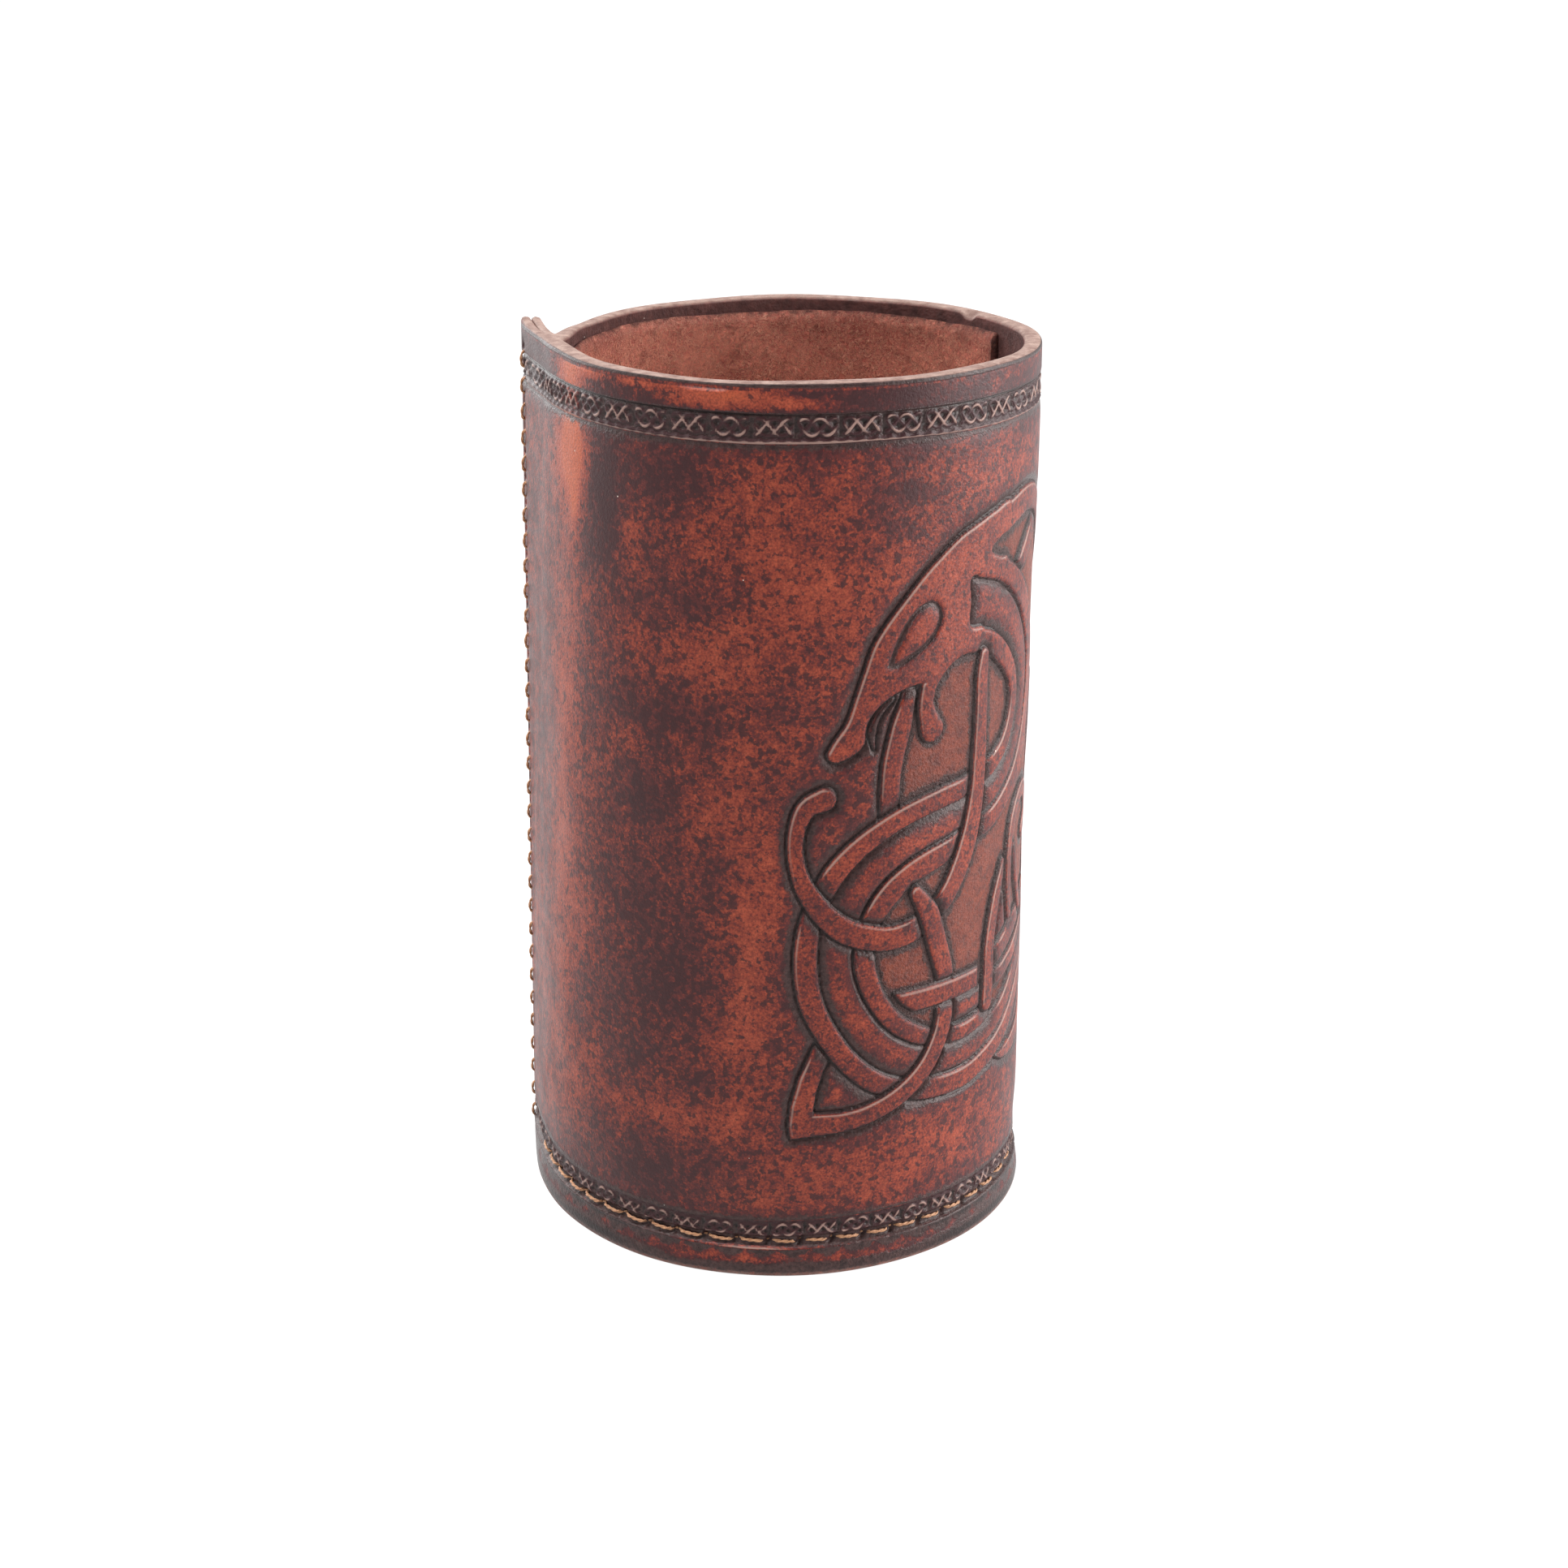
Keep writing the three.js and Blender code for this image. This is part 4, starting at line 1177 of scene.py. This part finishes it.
def leather_relief(s, matted, edge, flesh, dark):
    """Fine grain everywhere, coarser where the leather is matted, dyed, cut or turned flesh side out."""
    normal = s.bump(s.noise(0.5, 3, 0.65, seed=2.0), 0.085)
    normal = s.bump(s.spread(s.cells(0.7), 0.0, 0.35), 0.015, normal)
    coarse = s.add(matted, s.times(dark, 0.4))
    normal = s.bump(s.times(s.noise(0.45, 3, 0.65, seed=4.0), coarse), 0.3, normal)
    rough = s.math("MAXIMUM", flesh, s.times(edge, 0.3))
    return s.bump(s.times(s.noise(0.9, 5, 0.75, seed=6.0), rough), 0.5, normal)


def tooled_leather(obj):
    s = Shader("tooled_leather")
    names = ("dye_and_highlight", "warmth", "matted", "plain", "edge", "flesh")
    dye_and_highlight, warmth, matted, plain, edge, flesh = (s.attribute(name) for name in names)
    tone = leather_tone(s, dye_and_highlight, warmth, matted, plain)
    base_colour = leather_colour(s, tone, warmth, plain)
    base_colour = s.mix(s.times(matted, 0.7), base_colour, s.mottle(1.6, 4, "#4c231d", "#763b2b"))
    base_colour = s.mix(edge, base_colour, s.mottle(2.0, 4, "#694f47", "#917a70", 0.35, 0.65, 5.0))
    base_colour = s.mix(flesh, base_colour, s.mottle(2.2, 4, "#3a211f", "#5f3a36"))
    worn = s.add(s.noise(1.6, 4, 0.7, seed=9.0), s.times(s.noise(0.45, 2, 0.6, seed=19.0), 0.4), -0.7)
    dark = s.spread(s.add(dye_and_highlight, worn), 0.32, 0.62, 0.0, 0.93, smooth=True)
    base_colour = s.mix(dark, base_colour, s.mottle(0.7, 3, "#221616", "#44302e", 0.35, 0.65, 23.0))
    base_colour = s.mix(s.spread(dye_and_highlight, 0.92, 1.15, 0, 0.9), base_colour, "#110b0c")
    # Negative values of the map are painted highlight: a lighter greyish pink on upper-left ribbon edges,
    # raised stamp tops and border lips.
    base_colour = s.mix(s.spread(dye_and_highlight, -0.02, -0.3, 0, 0.82), base_colour, "#94776d")
    dust = s.spread(s.cells(8.0), 0.016, 0.011)
    base_colour = s.mix(dust, base_colour, "#cdbfb2")

    roughness = s.add(s.spread(s.noise(5, 3, 0.6), 0.3, 0.7, 0.38, 0.48), s.times(matted, 0.06),
                      s.times(flesh, 0.35), s.times(edge, 0.2), s.times(dark, -0.12))
    normal = leather_relief(s, matted, edge, flesh, dark)
    s.finish(obj, base_colour, roughness, normal, IOR=1.45, Specular_IOR_Level=0.34,
             Specular_Tint=(1, 0.94, 0.92, 1))


def lining_leather(obj, name="lining_leather"):
    s = Shader(name)
    cloud = s.noise(14, 4, 0.65, distortion=0.4, seed=2.0)
    fibre = s.noise(1.1, 4, 0.75, distortion=2.5, seed=8.0)
    tone = s.add(s.times(cloud, 0.55), s.times(fibre, 0.8))
    base_colour = s.mix(s.spread(tone, 0.52, 0.82), "#81382f", "#d9816b")
    strands = s.math("ABSOLUTE", s.math("SUBTRACT", s.noise(1.5, 2, 0.6, distortion=3.0, seed=21.0), 0.5))
    base_colour = s.mix(s.spread(strands, 0.055, 0.0, 0, 0.75), base_colour, "#eeab8e")
    shade = s.spread(s.noise(2.6, 3, 0.6, seed=12.0), 0.56, 0.68, 0, 0.4)
    base_colour = s.mix(shade, base_colour, "#5a2a20")
    worn = s.spread(s.noise(1.3, 4, 0.7, seed=17.0), 0.3, 0.7, 0.5, 1.4)
    border = s.math("MULTIPLY", s.attribute("edge"), worn, clamp=True)
    base_colour = s.mix(s.times(border, 0.9), base_colour, "#3a1d1a")
    roughness = s.spread(fibre, 0.3, 0.7, 0.7, 0.9)
    normal = s.bump(fibre, 0.45)
    normal = s.bump(s.spread(strands, 0.05, 0.0), 0.12, normal)
    normal = s.bump(s.noise(4, 3, 0.6, seed=4.5), 0.4, normal)
    s.finish(obj, base_colour, roughness, normal, Specular_IOR_Level=0.25)


def base_leather(obj):
    s = Shader("base_leather")
    cloud = s.noise(11, 4, 0.65, 0.3, seed=5.0)
    fibre = s.noise(1.1, 4, 0.75, seed=3.0)
    light = s.spread(s.add(s.times(cloud, 0.6), s.times(fibre, 0.5)), 0.4, 0.75)
    base_colour = s.mix(light, "#4a2118", "#8a4a30")
    normal = s.bump(fibre, 0.25)
    s.finish(obj, base_colour, s.spread(fibre, 0.3, 0.7, 0.55, 0.8), normal)


def waxed_thread(obj, name):
    s = Shader(name)
    fibre = s.noise(0.35, 3, 0.6, seed=2.0)
    grime = s.noise(4, 3, 0.6, seed=6.0)
    base_colour = s.mix(s.spread(fibre, 0.3, 0.7), "#94603f", "#ba8c67")
    base_colour = s.mix(s.spread(grime, 0.45, 0.75, 0, 0.5), base_colour, "#80502f")
    s.finish(obj, base_colour, s.spread(fibre, 0.3, 0.7, 0.45, 0.6), s.bump(fibre, 0.08), Sheen_Weight=0.1)


tooled_leather(wall)
lining_leather(lining)
lining_leather(pad, "pad_leather")
base_leather(base)
waxed_thread(base_stitching, "waxed_thread")
waxed_thread(seam_stitching, "waxed_seam_thread")


# ------------------------------------------------------------------ camera, floor and light

def area_light(name, place, aim, size, power):
    """A rectangular light in metres and watts, turned to a point that high above the middle of the floor."""
    data = bpy.data.lights.new(name, "AREA")
    data.shape = "RECTANGLE"
    data.size, data.size_y = size
    data.energy = power
    light = bpy.data.objects.new(name, data)
    light.location = place
    bpy.context.collection.objects.link(light)
    light.rotation_euler = (Vector((0, 0, aim)) - light.location).to_track_quat("-Z", "Y").to_euler()


CAMERA_AWAY = 413.28
CAMERA_HEIGHT = 213.76
CAMERA_DOWN = 19.63  # degrees below level
camera_data = bpy.data.cameras.new("camera")
camera_data.lens = 63.39
camera_data.sensor_width = 36
camera = bpy.data.objects.new("camera", camera_data)
camera.location = (SHIFT[0] * MM, (SHIFT[1] - CAMERA_AWAY) * MM, CAMERA_HEIGHT * MM)
camera.rotation_euler = (math.radians(90 - CAMERA_DOWN), 0, 0)
bpy.context.collection.objects.link(camera)
bpy.context.scene.camera = camera

bpy.ops.mesh.primitive_plane_add(size=12, location=(0, 0, 0))
floor = bpy.context.object
floor.name = "floor"
paper = Shader("paper")
paper.put(paper.shader.inputs["Base Color"], (0.12, 0.12, 0.12, 1))
paper.put(paper.shader.inputs["Roughness"], 0.9)
paper.put(paper.shader.inputs["Emission Color"], (1, 1, 1, 1))
paper.put(paper.shader.inputs["Emission Strength"], 0.92)
floor.data.materials.append(paper.material)

# The surround is dim on the camera's side and bright behind the cup.
world = bpy.data.worlds.new("studio")
world.use_nodes = True
sky = world.node_tree
direction = sky.nodes.new("ShaderNodeTexCoord")
parts = sky.nodes.new("ShaderNodeSeparateXYZ")
falloff = sky.nodes.new("ShaderNodeMapRange")
for socket, number in (("From Min", -1), ("From Max", 1), ("To Min", 0.3), ("To Max", 0.95)):
    falloff.inputs[socket].default_value = number
sky.links.new(direction.outputs["Generated"], parts.inputs[0])
sky.links.new(parts.outputs["Y"], falloff.inputs["Value"])
sky.links.new(falloff.outputs["Result"], sky.nodes["Background"].inputs["Strength"])
sky.nodes["Background"].inputs["Color"].default_value = (1, 1, 1, 1)
bpy.context.scene.world = world

area_light("left", (-0.6, 0.62, 0.45), 0.07, (0.7, 0.9), 7.5)
area_light("right", (0.95, -0.05, 0.32), 0.07, (1.0, 0.75), 19)
area_light("top", (-0.15, -0.1, 1.2), 0.1, (0.5, 0.5), 17)
area_light("key", (-0.72, -0.3, 0.62), 0.07, (0.2, 0.2), 2.2)

view_settings = bpy.context.scene.view_settings
view_settings.view_transform = "Standard"
view_settings.look = "None"
view_settings.exposure = 0.0
